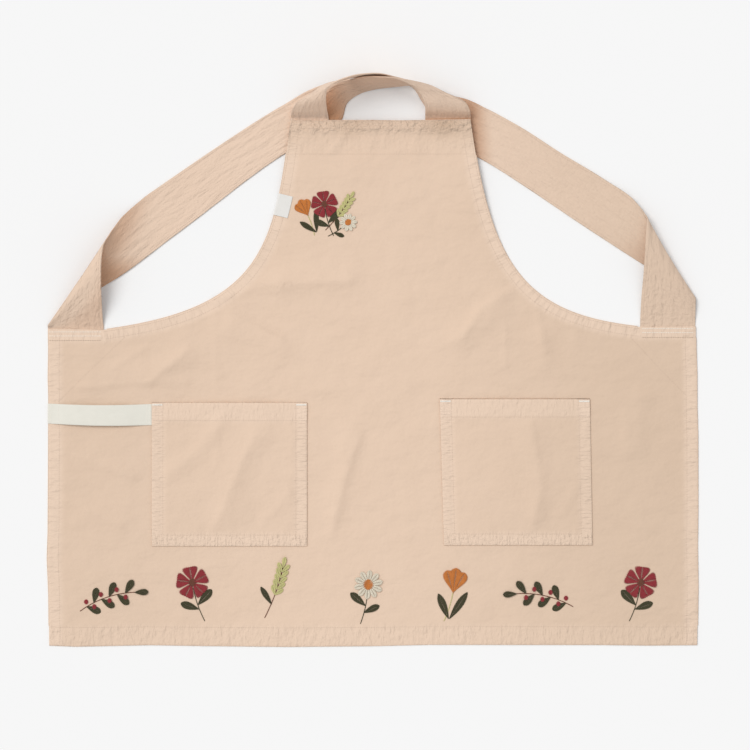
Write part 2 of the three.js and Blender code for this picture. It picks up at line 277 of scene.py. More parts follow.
STRAP_LEFT = (
    ((-62, 705, 4.2), (-115, 705, 4.2)),
    ((-62, 737, 4.2), (-115, 737, 4.2)),
    ((-64, 748.5, 21), (-113.5, 746, 18)),
    ((-65, 760, 42), (-107.5, 756, 29)),
    ((-64, 771, 56), (-87, 768.5, 36)),
    ((-57, 779, 68), (-66, 782, 40)),
    ((-42, 786, 72), (-45, 787.5, 35)),
    ((-17, 793, 66), (-18, 794.2, 18)),
    ((7, 795, 57), (10, 796, 7)),
    ((35, 792, 29), (37, 790, 2)),
    ((60, 786, 15), (57, 780, 0.8)),
    ((80, 781, 9), (67, 764, 0.8)),
    ((104, 771, 6), (80, 743, 0.8)),
    ((131, 764.5, 2), (95, 718, 0.8)),
    ((160, 751, 0.8), (123, 697, 0.8)),
    ((206, 726, 0.8), (168.5, 671, 0.8)),
    ((262, 690, 0.8), (224, 635, 0.8)),
    ((323, 653, 2), (290, 590.5, 0.8)),
    ((363, 625, 7), (349, 552, 0.8)),
    ((379, 604, 12), (413, 511, 1.5)),
    ((382, 596, 18), (451, 486, 4), (-1.5, -1, 0)),
    ((380, 570, 21), (451, 482, 6)),
    ((378, 526, 13), (451, 475, 5.5)),
    ((375, 481, 5), (451, 463, 3)),
    ((374, 448, 0.8), (451, 448, 0.8)),
    ((374, 432, 0.8), (451, 432, 0.8)),
)

# Flat width and length of the straps, in metres
STRAP_RIGHT_FLAT = (0.067, 0.790)
STRAP_LEFT_FLAT = (0.062, 0.800)
STRAP_GRID = (400, 48)

# Puckered edges of a strap, and the crinkled end that is sewn to the wing, as shares of its length
STRAP_EDGE = (3, 9)
SEWN_END = (0.84, 0.92)
SEWN_PUCKER_EASE = 0.6
SEWN_CRINKLE = 2.3
SEWN_CRINKLE_EASE = 0.7

# Crumples along a strap: length and breadth of a wave, its start as a share of one and its depth
STRAP_BREADTH = 64
CRUMPLES_BEGIN = (220, 310)
CRUMPLES_END = (600, 670)
STRAP_CRUMPLES = (
    (61, 13.1, 0.0, 0.09),
    (43, -15.2, 0.2, 0.08),
    (37, 9.4, 0.5, 0.07),
    (52, -10.7, 0.7, 0.08),
    (71, 7.6, 0.9, 0.05),
)

# Painted shade where a strap lies in shade, by the bib, in the arch and rolls, and beside the bib's
# edge:
# start and end along it at its two edges, how long the shade takes to rise and to fall, and its depth
RIGHT_STRAP_SHADE = (
    {"start": (0, 0), "rise": 5, "end": (36, 34), "fall": 24, "depth": 0.5},
    {"start": (0, 0), "rise": 5, "end": (30, 32), "fall": 6, "depth": 0.95},
    {"start": (100, 110), "rise": 45, "end": (200, 320), "fall": 14, "depth": 0.35},
    {"start": (175, 188), "rise": 80, "end": (200, 320), "fall": 14, "depth": 1.0},
    {"start": (495, 600), "rise": 90, "end": (666, 666), "fall": 8, "depth": 0.52},
    {"start": (625, 568), "rise": 45, "end": (645, 666), "fall": 10, "depth": 0.8},
    {"start": (695, 740), "rise": 30, "end": (748, 748), "fall": 4, "depth": 0.22},
)
LEFT_STRAP_SHADE = (
    {"start": (270, 270), "rise": 10, "end": (316, 364), "fall": 38, "depth": 0.75},
    {"start": (640, 575), "rise": 50, "end": (668, 668), "fall": 8, "depth": 0.33},
)

# Colours of the cloth, of the tape and label, and of the seam threads and the embroidery
CLOTH_LIGHT = (0.80, 0.612, 0.475)
CLOTH_DARK = (0.735, 0.55, 0.415)
STRAP_LIGHT = (0.845, 0.65, 0.51)
STRAP_DARK = (0.755, 0.565, 0.435)
# Tint of the painted shade towards the cloth's sides, where the light falls off
SIDE_SHADE_TINT = (0.89, 0.89, 0.875)
HEM_LIGHT = (0.85, 0.665, 0.53)
# Tint of the painted shade on the bib's top
BIB_SHADE_TINT = (0.78, 0.75, 0.71)
# Tint of the painted shade inside the straps' rolls and arch and beside the bib's edge
FOLD_SHADE_TINT = (0.68, 0.48, 0.35)
TAPE_LIGHT = (0.84, 0.815, 0.735)
TAPE_DARK = (0.72, 0.70, 0.62)
LABEL_LIGHT = (0.87, 0.85, 0.82)
LABEL_DARK = (0.80, 0.78, 0.74)
SEAM_THREAD = (0.66, 0.505, 0.395)
# Dark thread whose colour paints the shadow in the groove of each wing hem's lower seam
GROOVE_SHADOW_THREAD = (0.47, 0.34, 0.25)
CREAM_THREAD = (0.95, 0.89, 0.81)
EMBROIDERY = {
    "red": (0.30, 0.022, 0.030),
    "orange": (0.62, 0.20, 0.035),
    "olive": (0.050, 0.045, 0.014),
    "lime": (0.60, 0.56, 0.24),
    "brown": (0.16, 0.050, 0.025),
    "cream": (0.80, 0.72, 0.58),
}

# A length, in millimetres, that is too small to matter
TINY = 1e-6


def smoothstep(value, low, high):
    share = np.clip((value - low) / (high - low), 0.0, 1.0)
    return share * share * (3 - 2 * share)


def step_at(value, place, step):
    """Smooth step that begins and ends at set distances from a place."""
    return smoothstep(value, place + step[0], place + step[1])


def ease(low, high, share):
    return low + (high - low) * share


def to_frame(spots):
    """Garment millimetres to metres in the shared frame."""
    return np.asarray(spots) * MM + ORIGIN


# Outline curves
def bezier(points, share):
    share = np.asarray(share, dtype=float)[:, None]
    a, b, c, d = (np.array(p, dtype=float) for p in points)
    rest = 1 - share
    return a * rest**3 + 3 * b * rest**2 * share + 3 * c * rest * share**2 + d * share**3


def by_length(points, share):
    """Spots at shares of a line's length."""
    steps = np.hypot(*np.diff(points, axis=0).T)
    reach = np.concatenate([[0.0], np.cumsum(steps)])
    return np.stack([np.interp(share * reach[-1], reach, points[:, i]) for i in (0, 1)], axis=1)


def inset_curve(curve, depth):
    """The curve moved to its right-hand side, which is into the cloth."""
    ahead = np.gradient(curve, axis=0)
    ahead /= np.linalg.norm(ahead, axis=1)[:, None]
    return curve + np.stack([ahead[:, 1], -ahead[:, 0]], axis=1) * depth


# The body's edges as its cloth is cut, a fold's depth inside the outline
FINE = np.linspace(0, 1, 161)
COARSE = 4
LEFT_CURVE = inset_curve(bezier(ARMHOLE_LEFT, FINE), BEAD)
RIGHT_CURVE = inset_curve(bezier(ARMHOLE_RIGHT, FINE), BEAD)
SIDE = HALF_WIDTH - BEAD
WING_LEFT_LINE = np.array([(-SIDE, WING_TOP_LEFT), LEFT_CURVE[0]])
WING_RIGHT_LINE = np.array([RIGHT_CURVE[-1], (SIDE, WING_TOP_RIGHT)])
BIB_LINE = np.array([LEFT_CURVE[-1], RIGHT_CURVE[0]]) - (0, BEAD)
LEFT_CURVE[-1] = BIB_LINE[0]
RIGHT_CURVE[0] = BIB_LINE[1]
EDGE_RUNS = (WING_LEFT_LINE, LEFT_CURVE, BIB_LINE, RIGHT_CURVE, WING_RIGHT_LINE)


def upper_edge(share):
    """Upper edge of the body from the left side to the right side."""
    columns = np.asarray(share) * sum(EDGE_COLUMNS)
    spots = np.zeros((len(columns), 2))
    start = 0
    for run, count in zip(EDGE_RUNS, EDGE_COLUMNS):
        here = (columns >= start - TINY) & (columns <= start + count + TINY)
        spots[here] = by_length(run, np.clip((columns[here] - start) / count, 0, 1))
        start += count
    return spots


def nearest_on(line, x, y):
    """Distance to a line of spots and the length along it at the nearest one."""
    best = np.full(len(x), np.inf)
    along = np.zeros(len(x))
    walked = 0.0
    for (ax, ay), (bx, by) in zip(line, line[1:]):
        dx, dy = bx - ax, by - ay
        length = math.hypot(dx, dy)
        share = np.clip(((x - ax) * dx + (y - ay) * dy) / length**2, 0, 1)
        away = np.hypot(x - ax - share * dx, y - ay - share * dy)
        closer = away < best
        best[closer] = away[closer]
        along[closer] = walked + share[closer] * length
        walked += length
    return best, along


def folds(table, x, y):
    """Height of the soft ridges in a table of path, breadth and rise."""
    height = np.zeros(len(x))
    for path, breadth, rise in table:
        away = nearest_on(path, x, y)[0]
        height += rise * np.exp(-((away / breadth) ** 2))
    return height


def wave(place, beside, length, sway, sway_length, start):
    """A wave in one direction whose crests sway in the other."""
    return np.sin(place / length + sway * np.sin(beside / sway_length) + start)


def drift(x, y):
    """Slight unevenness of cloth that was washed and laid out."""
    return sum(
        height * (1 + wave(x, y, *across) * wave(y, x, *upward)) for across, upward, height in DRIFT
    )


def edge_room(x, y):
    """For each hemmed edge: distance to it, place along it and depth of its hem."""
    return {
        "skirt": (y - BEAD, x, SKIRT_HEM),
        "sides": (SIDE - np.abs(x), y, SIDE_HEM),
        "armhole_left": (*nearest_on(LEFT_CURVE[::COARSE], x, y), ARMHOLE_HEM),
        "armhole_right": (*nearest_on(RIGHT_CURVE[::COARSE], x, y), ARMHOLE_HEM),
        "wing_left": (*nearest_on(WING_LEFT_LINE, x, y), WING_HEM),
        "wing_right": (*nearest_on(WING_RIGHT_LINE, x, y), WING_HEM),
        "bib": (*nearest_on(BIB_LINE, x, y), BIB_HEM),
    }


def body_underside(x, y):
    """Height of the underside of the body cloth."""
    x = np.asarray(x, dtype=float)
    y = np.asarray(y, dtype=float)
    inside = np.ones(len(x))
    for room, run, depth in edge_room(x, y).values():
        inside *= step_at(room, depth, INSIDE_STEP)
    rise = BIB_RISE * smoothstep(y, BIB_RISE_FROM, BIB_TOP - BIB_HEM)
    rise = rise + BIB_BAND_RISE * smoothstep(y, BIB_TOP - BIB_HEM, BIB_TOP)
    rise = rise + BIB_CURL * smoothstep(x, *BIB_CURL_ACROSS) * smoothstep(y, *BIB_CURL_UP)
    rise = rise + WING_RISE * smoothstep(np.abs(x), *WING_RISE_ACROSS) * smoothstep(y, *WING_RISE_UP)
    shape = folds(BODY_FOLDS, x, y) + folds(BODY_CREASES, x, y)
    return LIE + rise + shape + drift(x, y) * inside - INSIDE_DROP * inside


def strayed(x, y):
    """Moves spots near the edges as the edges stray from straight."""
    left = np.interp(y, *np.transpose(LEFT_STRAY)) * smoothstep(-x, STRAY_SIDES_FROM, SIDE)
    right = np.interp(y, *np.transpose(RIGHT_STRAY)) * smoothstep(x, STRAY_SIDES_FROM, SIDE)
    skirt = np.interp(x, *np.transpose(SKIRT_STRAY)) * (1 - smoothstep(y, 0, STRAY_SKIRT_TO))
    bib = np.interp(x, *np.transpose(BIB_STRAY)) * smoothstep(y, STRAY_BIB_FROM, BIB_TOP)
    return x + left + right, y + skirt + bib


def body_top(x, y):
    """Spots on the upper face of the body cloth."""
    x = np.asarray(x, dtype=float)
    y = np.asarray(y, dtype=float)
    return np.stack([*strayed(x, y), body_underside(x, y) + CLOTH], axis=1)


# Building cloth pieces
RIM_WEIGHT = 80


def add_piece(name, mesh, material):
    """Puts a finished mesh into the scene as a piece that rides with the part."""
    mesh.materials.append(material)
    piece = bpy.data.objects.new(name, mesh)
    bpy.context.scene.collection.objects.link(piece)
    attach(piece, "root")
    return piece


def cloth_piece(name, grid, lay, wall, material, cut=None, marks=None):
    """A cut of cloth: a grid laid out on its middle surface, then given its wall.

    lay, cut and marks take shares along and across the grid. lay gives the middle surface, cut the
    places on the flat cloth, and marks the values that the finish reads at each corner.
    """
    bm = bmesh.new()
    bmesh.ops.create_grid(bm, x_segments=grid[0], y_segments=grid[1], size=0.5)
    bm.verts.index_update()
    share = np.array([vert.co[:2] for vert in bm.verts]) + 0.5
    u, v = share[:, 0], share[:, 1]
    middle = lay(u, v)
    for vert, spot in zip(bm.verts, to_frame(middle)):
        vert.co = spot
    flat = (cut(u, v) if cut else middle[:, :2]) * MM
    cut_layer = bm.loops.layers.uv.new("cut")
    for mark, values in (marks(u, v) if marks else {}).items():
        mark_layer = bm.verts.layers.float.new(mark)
        for vert, value in zip(bm.verts, values):
            vert[mark_layer] = value
    for face in bm.faces:
        face.smooth = True
        for loop in face.loops:
            loop[cut_layer].uv = flat[loop.vert.index]
    mesh = bpy.data.meshes.new(name)
    bm.to_mesh(mesh)
    bm.free()
    piece = add_piece(name, mesh, material)
    thick = piece.modifiers.new("wall", "SOLIDIFY")
    thick.thickness = wall * MM
    thick.offset = 0.0
    thick.use_even_offset = False
    crisp = piece.modifiers.new("crisp_rim", "WEIGHTED_NORMAL")
    crisp.weight = RIM_WEIGHT
    crisp.keep_sharp = False
    return piece


# Threads: every stitch is a slim spindle from one needle hole to the next
SPINDLE_SIDES = 6
SPINDLE_RINGS = 4
SPINDLE_DIGITS = 6
STITCH_OVERLAP = 1.1
SEAM_PITCH = 3.2
SEAM_STITCH = 2.5
SEAM_STEP = 2.0
SEAM_LEAST_SPOTS = 4
UPWARDS = (0.0, 0.0, 1.0)


def spindle():
    """Corners and faces of one stitch, put in order because the operator's order changes by run."""
    bm = bmesh.new()
    bmesh.ops.create_uvsphere(bm, u_segments=SPINDLE_SIDES, v_segments=SPINDLE_RINGS, radius=0.5)
    spots = {vert: tuple(round(place, SPINDLE_DIGITS) for place in vert.co) for vert in bm.verts}
    corners = sorted(spots.values())
    faces = []
    for face in bm.faces:
        numbers = [corners.index(spots[vert]) for vert in face.verts]
        first = numbers.index(min(numbers))
        faces.append(numbers[first:] + numbers[:first])
    bm.free()
    return np.array(corners), sorted(faces)


SPINDLE_SPOTS, SPINDLE_FACES = spindle()


def threads_piece(name, stitches, gauge, material):
    """Joins stitches, each given as start, end and upward direction, into one piece."""
    width, height = gauge
    spots = []
    faces = []
    for start, end, up in stitches:
        start, end, up = (np.asarray(spot, dtype=float) for spot in (start, end, up))
        along = end - start
        side = np.cross(up, along)
        side *= width / max(np.linalg.norm(side), TINY)
        lift = np.cross(along, side)
        lift *= height / max(np.linalg.norm(lift), TINY)
        base = len(spots) * len(SPINDLE_SPOTS)
        turned = SPINDLE_SPOTS @ np.stack([side, lift, along * STITCH_OVERLAP])
        spots.append(turned + (start + end) / 2)
        faces.extend([[base + i for i in face] for face in SPINDLE_FACES])
    mesh = bpy.data.meshes.new(name)
    mesh.from_pydata(to_frame(np.concatenate(spots)).tolist(), [], faces)
    mesh.shade_smooth()
    add_piece(name, mesh, material)


def stitched(spots, ups=None, pitch=SEAM_PITCH, stitch=SEAM_STITCH):
    """Stitches along spots that lie on a cloth surface, which faces up where ups isn't given."""
    reach = np.concatenate([[0.0], np.cumsum(np.linalg.norm(np.diff(spots, axis=0), axis=1))])
    count = max(int(reach[-1] / pitch), 1)
    starts = np.arange(count) * (reach[-1] / count)

    def at(length, values):
        return np.stack([np.interp(length, reach, values[:, i]) for i in range(3)], axis=1)

    tops = at(starts, ups) if ups is not None else np.tile(UPWARDS, (count, 1))
    return list(zip(at(starts, spots), at(starts + stitch, spots), tops))


def seams(surface, lines, pitch=SEAM_PITCH, stitch=SEAM_STITCH):
    """Stitches along lines drawn on a cloth surface."""
    stitches = []
    for line in lines:
        line = np.array(line, dtype=float)
        length = np.hypot(*np.diff(line, axis=0).T).sum()
        share = np.linspace(0, 1, max(int(length / SEAM_STEP), SEAM_LEAST_SPOTS))
        stitches += stitched(surface(*by_length(line, share).T), None, pitch, stitch)
    return stitches


# Finishes: settings that all share, a band wave's length at scale 1, and a colour mix's sockets
SHEEN_ROUGHNESS = 0.6
SPECULAR = 0.15
BAND_LENGTH = math.pi / 10
MIX_FIRST = 6
MIX_SECOND = 7
MIX_RESULT = 2


class Finish:
    """A node material built up step by step."""

    def __init__(self, name, roughness, sheen=0.0):
        self.material = bpy.data.materials.new(name)
        self.material.use_nodes = True
        self.tree = self.material.node_tree
        self.surface = self.tree.nodes["Principled BSDF"]
        self.surface.inputs["Roughness"].default_value = roughness
        self.surface.inputs["Sheen Weight"].default_value = sheen
        self.surface.inputs["Sheen Roughness"].default_value = SHEEN_ROUGHNESS
        self.surface.inputs["Specular IOR Level"].default_value = SPECULAR

    def set_input(self, socket, value):
        if isinstance(value, bpy.types.NodeSocket):
            self.tree.links.new(value, socket)
        else:
            socket.default_value = value

    def math(self, operation, first, second):
        node = self.tree.nodes.new("ShaderNodeMath")
        node.operation = operation
        self.set_input(node.inputs[0], first)
        self.set_input(node.inputs[1], second)
        return node.outputs[0]

    def weighted(self, *parts):
        """Sum of values, each times its weight."""
        total = None
        for value, weight in parts:
            part = self.math("MULTIPLY", value, weight)
            total = part if total is None else self.math("ADD", total, part)
        return total

    def flat_cut(self):
        node = self.tree.nodes.new("ShaderNodeUVMap")
        node.uv_map = "cut"
        return node.outputs[0]

    def object_spot(self):
        return self.tree.nodes.new("ShaderNodeTexCoord").outputs["Object"]

    def attribute(self, name):
        node = self.tree.nodes.new("ShaderNodeAttribute")
        node.attribute_name = name
        return node.outputs["Fac"]

    def stretched(self, vector, scale, turn=0.0):
        node = self.tree.nodes.new("ShaderNodeMapping")
        self.set_input(node.inputs["Vector"], vector)
        node.inputs["Scale"].default_value = scale
        node.inputs["Rotation"].default_value = (0, 0, turn)
        return node.outputs[0]

    def noise(self, vector, scale=1.0, detail=2.0, roughness=0.5):
        node = self.tree.nodes.new("ShaderNodeTexNoise")
        self.set_input(node.inputs["Vector"], vector)
        node.inputs["Scale"].default_value = scale
        node.inputs["Detail"].default_value = detail
        node.inputs["Roughness"].default_value = roughness
        return node.outputs["Fac"]

    def bands(self, vector, direction, period, distortion=0.0):
        node = self.tree.nodes.new("ShaderNodeTexWave")
        node.wave_type = "BANDS"
        node.bands_direction = direction
        self.set_input(node.inputs["Vector"], vector)
        node.inputs["Scale"].default_value = BAND_LENGTH / period
        node.inputs["Distortion"].default_value = distortion
        node.inputs["Detail"].default_value = 1.0
        return node.outputs["Fac"]

    def blend(self, share, first, second, way="MIX"):
        node = self.tree.nodes.new("ShaderNodeMix")
        node.data_type = "RGBA"
        node.blend_type = way
        self.set_input(node.inputs["Factor"], share)
        for socket, value in ((MIX_FIRST, first), (MIX_SECOND, second)):
            if isinstance(value, tuple):
                value = (*value, 1.0)
            self.set_input(node.inputs[socket], value)
        return node.outputs[MIX_RESULT]

    def deepened(self, share, colour, tint):
        return self.blend(share, colour, tint, "MULTIPLY")

    def ramp(self, value, low, high, most):
        node = self.tree.nodes.new("ShaderNodeMapRange")
        node.interpolation_type = "SMOOTHSTEP"
        self.set_input(node.inputs["Value"], value)
        node.inputs["From Min"].default_value = low
        node.inputs["From Max"].default_value = high
        node.inputs["To Min"].default_value = 0.0
        node.inputs["To Max"].default_value = most
        return node.outputs[0]

    def finish(self, colour, height):
        """Sets the colour and a bump whose height is in millimetres."""
        self.set_input(self.surface.inputs["Base Color"], colour)
        bump = self.tree.nodes.new("ShaderNodeBump")
        bump.inputs["Strength"].default_value = 1.0
        bump.inputs["Distance"].default_value = MM
        self.set_input(bump.inputs["Height"], height)
        self.set_input(self.surface.inputs["Normal"], bump.outputs[0])
        return self.material


# Weave: threads in metres, patterns in repeats for a metre, rises in millimetres
YARN = 0.0011
YARN_SWAY = 0.5
YARN_RISE = 0.035
SLUBS_THICK = 900
SLUBS_LONG = 45
SLUB_RISE = 0.06
GRAIN = 230
GRAIN_ROUGHNESS = 0.6
CRINKLES = 165.0
CRINKLE_RISE = 1.6
CRUMPLE_TURN = 0.16
PATCHES = 13
PUCKERS_LONG = 60
ARMHOLE_PUCKERS_LONG = 40
FINE_DETAIL = 3.0

# How much slubs, patches and puckers change the tone of the cloth, and hems its colour
SLUB_TONE = 0.5
PATCH_TONE = 0.4
PUCKER_TONE = 0.3
HEM_SHARE = 0.5

# Painted shade of light that falls off towards the cloth's two sides: start, end and most, in metres
# along X
SHADE_TO_RIGHT = (0.02, 0.42, 1.0)
SHADE_TO_LEFT = (-0.08, -0.45, 0.5)


def puckers(f, cut, pitch):
    """Ripples across the seams: along X, along Y, and along the curved armholes."""
    place = f.tree.nodes.new("ShaderNodeSeparateXYZ")
    f.set_input(place.inputs[0], cut)
    run = f.tree.nodes.new("ShaderNodeCombineXYZ")
    for socket, value in zip(run.inputs, (f.attribute("edge_run"), *place.outputs[:2])):
        f.set_input(socket, value)
    ripples = (
        ("pucker_across", cut, (pitch, PUCKERS_LONG, 1)),
        ("pucker_up", cut, (PUCKERS_LONG, pitch, 1)),
        ("pucker_run", run.outputs[0], (pitch, ARMHOLE_PUCKERS_LONG, ARMHOLE_PUCKERS_LONG)),
    )
    parts = []
    for mark, vector, scale in ripples:
        ripple = f.math("SUBTRACT", f.noise(f.stretched(vector, scale)), 0.5)
        parts.append((ripple, f.attribute(mark)))
    return f.weighted(*parts)


def woven(name, light, dark, crumple, crumples, crepe, ripple, pitch):
    """Washed plain-weave cloth: threads, slubs, crumples, puckered seams and light hems.

    crumple, crepe and ripple are the rises of the crumples, the grain and the puckers. crumples and
    pitch are how often crumples and puckers repeat in a metre.
    """
    f = Finish(name, roughness=0.9, sheen=0.12)
    cut = f.flat_cut()
    yarns = f.math("ADD", *(f.bands(cut, direction, YARN, YARN_SWAY) for direction in "XY"))
    slubs_up = f.noise(f.stretched(cut, (SLUBS_THICK, SLUBS_LONG, 1)), detail=FINE_DETAIL)
    slubs_across = f.noise(f.stretched(cut, (SLUBS_LONG, SLUBS_THICK, 1)), detail=FINE_DETAIL)
    slubs = f.math("MULTIPLY", f.math("ADD", slubs_up, slubs_across), 0.5)
    grain = f.noise(f.stretched(cut, (GRAIN, GRAIN, 1)), detail=FINE_DETAIL, roughness=GRAIN_ROUGHNESS)
    crumpled = f.noise(f.stretched(cut, crumples, CRUMPLE_TURN), detail=FINE_DETAIL)
    crinkled = f.math("MULTIPLY", f.noise(cut, CRINKLES), f.attribute("crinkle"))
    patches = f.noise(f.stretched(cut, (PATCHES, PATCHES, 1)), detail=FINE_DETAIL)
    pucker = puckers(f, cut, pitch)
    tone = f.weighted((slubs, SLUB_TONE), (patches, PATCH_TONE), (pucker, PUCKER_TONE))
    height = f.weighted(
        (yarns, YARN_RISE), (slubs, SLUB_RISE), (grain, crepe), (crumpled, crumple),
        (crinkled, CRINKLE_RISE), (pucker, ripple),
    )
    place = f.tree.nodes.new("ShaderNodeSeparateXYZ")
    f.set_input(place.inputs[0], f.object_spot())
    # Painted shade of the light falling off towards the two sides
    side_shade = f.math("ADD", *(f.ramp(place.outputs[0], *side) for side in (SHADE_TO_LEFT, SHADE_TO_RIGHT)))
    colour = f.deepened(side_shade, f.blend(tone, dark, light), SIDE_SHADE_TINT)
    colour = f.blend(f.math("MULTIPLY", f.attribute("hem_light"), HEM_SHARE), colour, HEM_LIGHT)
    # Painted shade on the bib's top, where the strap fronts shade it
    colour = f.deepened(f.attribute("bib_shade"), colour, BIB_SHADE_TINT)
    # Painted shade where a strap lies in its own rolls and arch or beside the bib's edge
    colour = f.deepened(f.attribute("painted_strap_shade"), colour, FOLD_SHADE_TINT)
    return f.finish(colour, height)


# Ribs of the tape and label: how they waver, their share of the tone and their rise, then unevenness
RIB_SWAY = 0.2
RIB_TONE = 0.35
RIB_RISE = 0.12
TAPE_UNEVEN = 60
TAPE_UNEVEN_TONE = 0.65
TAPE_UNEVEN_RISE = 0.5


def twill(name, light, dark, period, slant):
    """Narrow woven tape or label with slanted or straight ribs."""
    f = Finish(name, roughness=0.8, sheen=0.1)
    cut = f.flat_cut()
    ribs = f.bands(f.stretched(cut, (1, 1, 1), slant), "X", period, RIB_SWAY)
    uneven = f.noise(f.stretched(cut, (TAPE_UNEVEN, TAPE_UNEVEN, 1)), detail=FINE_DETAIL)
    tone = f.weighted((ribs, RIB_TONE), (uneven, TAPE_UNEVEN_TONE))
    height = f.weighted((ribs, RIB_RISE), (uneven, TAPE_UNEVEN_RISE))
    return f.finish(f.blend(tone, dark, light), height)


# Twist of a thread: its pitch in metres, slant, waver, share of the tone and rise, then unevenness
TWIST = 0.0006
TWIST_SLANT = 0.7
TWIST_SWAY = 1.0
TWIST_TONE = 0.3
TWIST_RISE = 0.12
THREAD_UNEVEN = 160.0
THREAD_UNEVEN_TONE = 0.7
THREAD_LIT = 0.65


def thread(name, colour, roughness=0.55, depth=0.28):
    """Twisted sewing or embroidery thread, with its dark and lit tones a depth away from its colour."""
    f = Finish(name, roughness=roughness, sheen=0.2)
    spot = f.object_spot()
    twist = f.bands(f.stretched(spot, (1, 1, 1), TWIST_SLANT), "X", TWIST, TWIST_SWAY)
    uneven = f.noise(spot, THREAD_UNEVEN)
    tone = f.weighted((twist, TWIST_TONE), (uneven, THREAD_UNEVEN_TONE))
    deep = tuple((1 - depth) * c for c in colour)
    lit = tuple(min((1 + THREAD_LIT * depth) * c, 1.0) for c in colour)
    return f.finish(f.blend(tone, deep, lit), f.math("MULTIPLY", twist, TWIST_RISE))


body_finish = woven(
    "body_weave", CLOTH_LIGHT, CLOTH_DARK,
    crumple=5.2, crumples=(17, 25, 1), crepe=0.45, ripple=3.0, pitch=150,
)
pocket_finish = woven(
    "pocket_weave", CLOTH_LIGHT, CLOTH_DARK,
    crumple=4.6, crumples=(20, 26, 1), crepe=0.45, ripple=2.6, pitch=260,
)
strap_finish = woven(
    "strap_weave", STRAP_LIGHT, STRAP_DARK,
    crumple=3.2, crumples=(26, 125, 1), crepe=1.1, ripple=1.0, pitch=200,
)
tape_finish = twill("tape_twill", TAPE_LIGHT, TAPE_DARK, period=0.0012, slant=0.6)
label_finish = twill("label_satin", LABEL_LIGHT, LABEL_DARK, period=0.0006, slant=math.pi / 2)
seam_finish = thread("seam_thread", SEAM_THREAD, depth=0.12)
# Stitches whose dark colour paints the shadow of the wing hems' grooves
groove_shadow_finish = thread("groove_shadow_thread", GROOVE_SHADOW_THREAD)
cream_finish = thread("bar_tack_thread", CREAM_THREAD, depth=0.1)


# Body
def body_cut(u, v):
    """Places on the flat body cloth, from the skirt's edge up to the upper edge."""
    top = upper_edge(u)
    x = ease((u - 0.5) * 2 * SIDE, top[:, 0], v)
    y = ease(BEAD, top[:, 1], v)
    return np.stack([x, y], axis=1)


def lay_body(u, v):
    spots = body_top(*body_cut(u, v).T)
    spots[:, 2] -= CLOTH / 2
    return spots


def soft_spots(table, x):
    """Sum of the soft spots in a table of middle, breadth and depth."""
    return sum(depth * np.exp(-(((x - middle) / breadth) ** 2)) for middle, breadth, depth in table)


def near_edge(room, depth):
    """1 on a hem of that depth, fading to 0 past its stitch line."""
    return 1 - step_at(room, depth, HEM_FADE)


def body_marks(u, v):
    """Where the body is puckered, lighter along its hems, and painted shade along the bib's top."""
    x, y = body_cut(u, v).T
    rooms = edge_room(x, y)
    skirt, sides, bib = (rooms[edge][0] for edge in ("skirt", "sides", "bib"))
    wing = near_edge(np.minimum(rooms["wing_left"][0], rooms["wing_right"][0]), WING_HEM)
    armhole_room, armhole_run = (
        np.where(x < 0, rooms["armhole_left"][i], rooms["armhole_right"][i]) for i in (0, 1)
    )
    foot = near_edge(skirt, SKIRT_HEM)
    side = near_edge(sides, SIDE_HEM)
    armhole = near_edge(armhole_room, ARMHOLE_HEM)
    band = 1.0
    for start, end, share in BAND_FADES:
        band = band - share * smoothstep(bib, start, end)
    pale = np.maximum.reduce([SKIRT_PALE * foot, side, armhole, wing])
    # Painted shade on the bib's top: a little all along it, more at the two spots
    bib_shade = BIB_SHADE_ALL_ALONG + soft_spots(BIB_SHADE_SPOTS, x)
    band_crinkle = BAND_CRINKLE + BAND_RIM_CRINKLE * near_edge(bib, BAND_RIM)
    return {
        "pucker_across": np.maximum.reduce([foot, wing, band]),
        "pucker_up": side,
        "pucker_run": armhole,
        "edge_run": armhole_run * MM,
        "hem_light": pale * smoothstep(bib, *PALE_BELOW_BIB),
        "bib_shade": bib_shade * (1 - smoothstep(bib, *BIB_SHADE_FADE)),
        "crinkle": np.maximum(band_crinkle * band, SKIRT_CRINKLE * foot),
    }


body_grid = (sum(EDGE_COLUMNS), BODY_ROWS)
body = cloth_piece("body_cloth", body_grid, lay_body, CLOTH, body_finish, body_cut, body_marks)
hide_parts("body_panel")


# Turned hems: a flat leaf under the body, rounded up at the fold to meet its edge
HEM_LEAF_STEPS = 8
HEM_BEND_STEPS = 6
SIDE_HEM_CLEAR = 2
ARMHOLE_LEFT_SPAN = (0.006, 0.915)
ARMHOLE_RIGHT_SPAN = (0.082, 0.992)


def turned_hem(name, node, columns, edge_at, depth, flat):
    """edge_at gives the spots of the folded edge and the direction towards the body."""
    steps = HEM_LEAF_STEPS + HEM_BEND_STEPS
    leaf = HEM_LEAF_STEPS / steps

    def lay(u, v):
        edge, inward = edge_at(u)
        deep = depth * np.clip(1 - v / leaf, 0, 1)
        angle = math.pi * np.clip((v - leaf) / (1 - leaf), 0, 1)
        spots = strayed(*(edge + inward * (deep - HEM_BEND * np.sin(angle))[:, None]).T)
        cloth = body_underside(*(edge + inward * deep[:, None]).T)
        low = np.maximum(cloth - LAYER - DOUBLED / 2, DOUBLED / 2)
        return np.stack([*spots, low + HEM_BEND * (1 - np.cos(angle))], axis=1)

    def cut(u, v):
        return np.stack([u * flat[0] * MM_IN_METRE, v * flat[1] * MM_IN_METRE], axis=1)

    def marks(u, v):
        return {"hem_light": np.ones(len(u))}

    piece = cloth_piece(name, (columns, steps), lay, DOUBLED, body_finish, cut, marks)
    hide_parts(node)


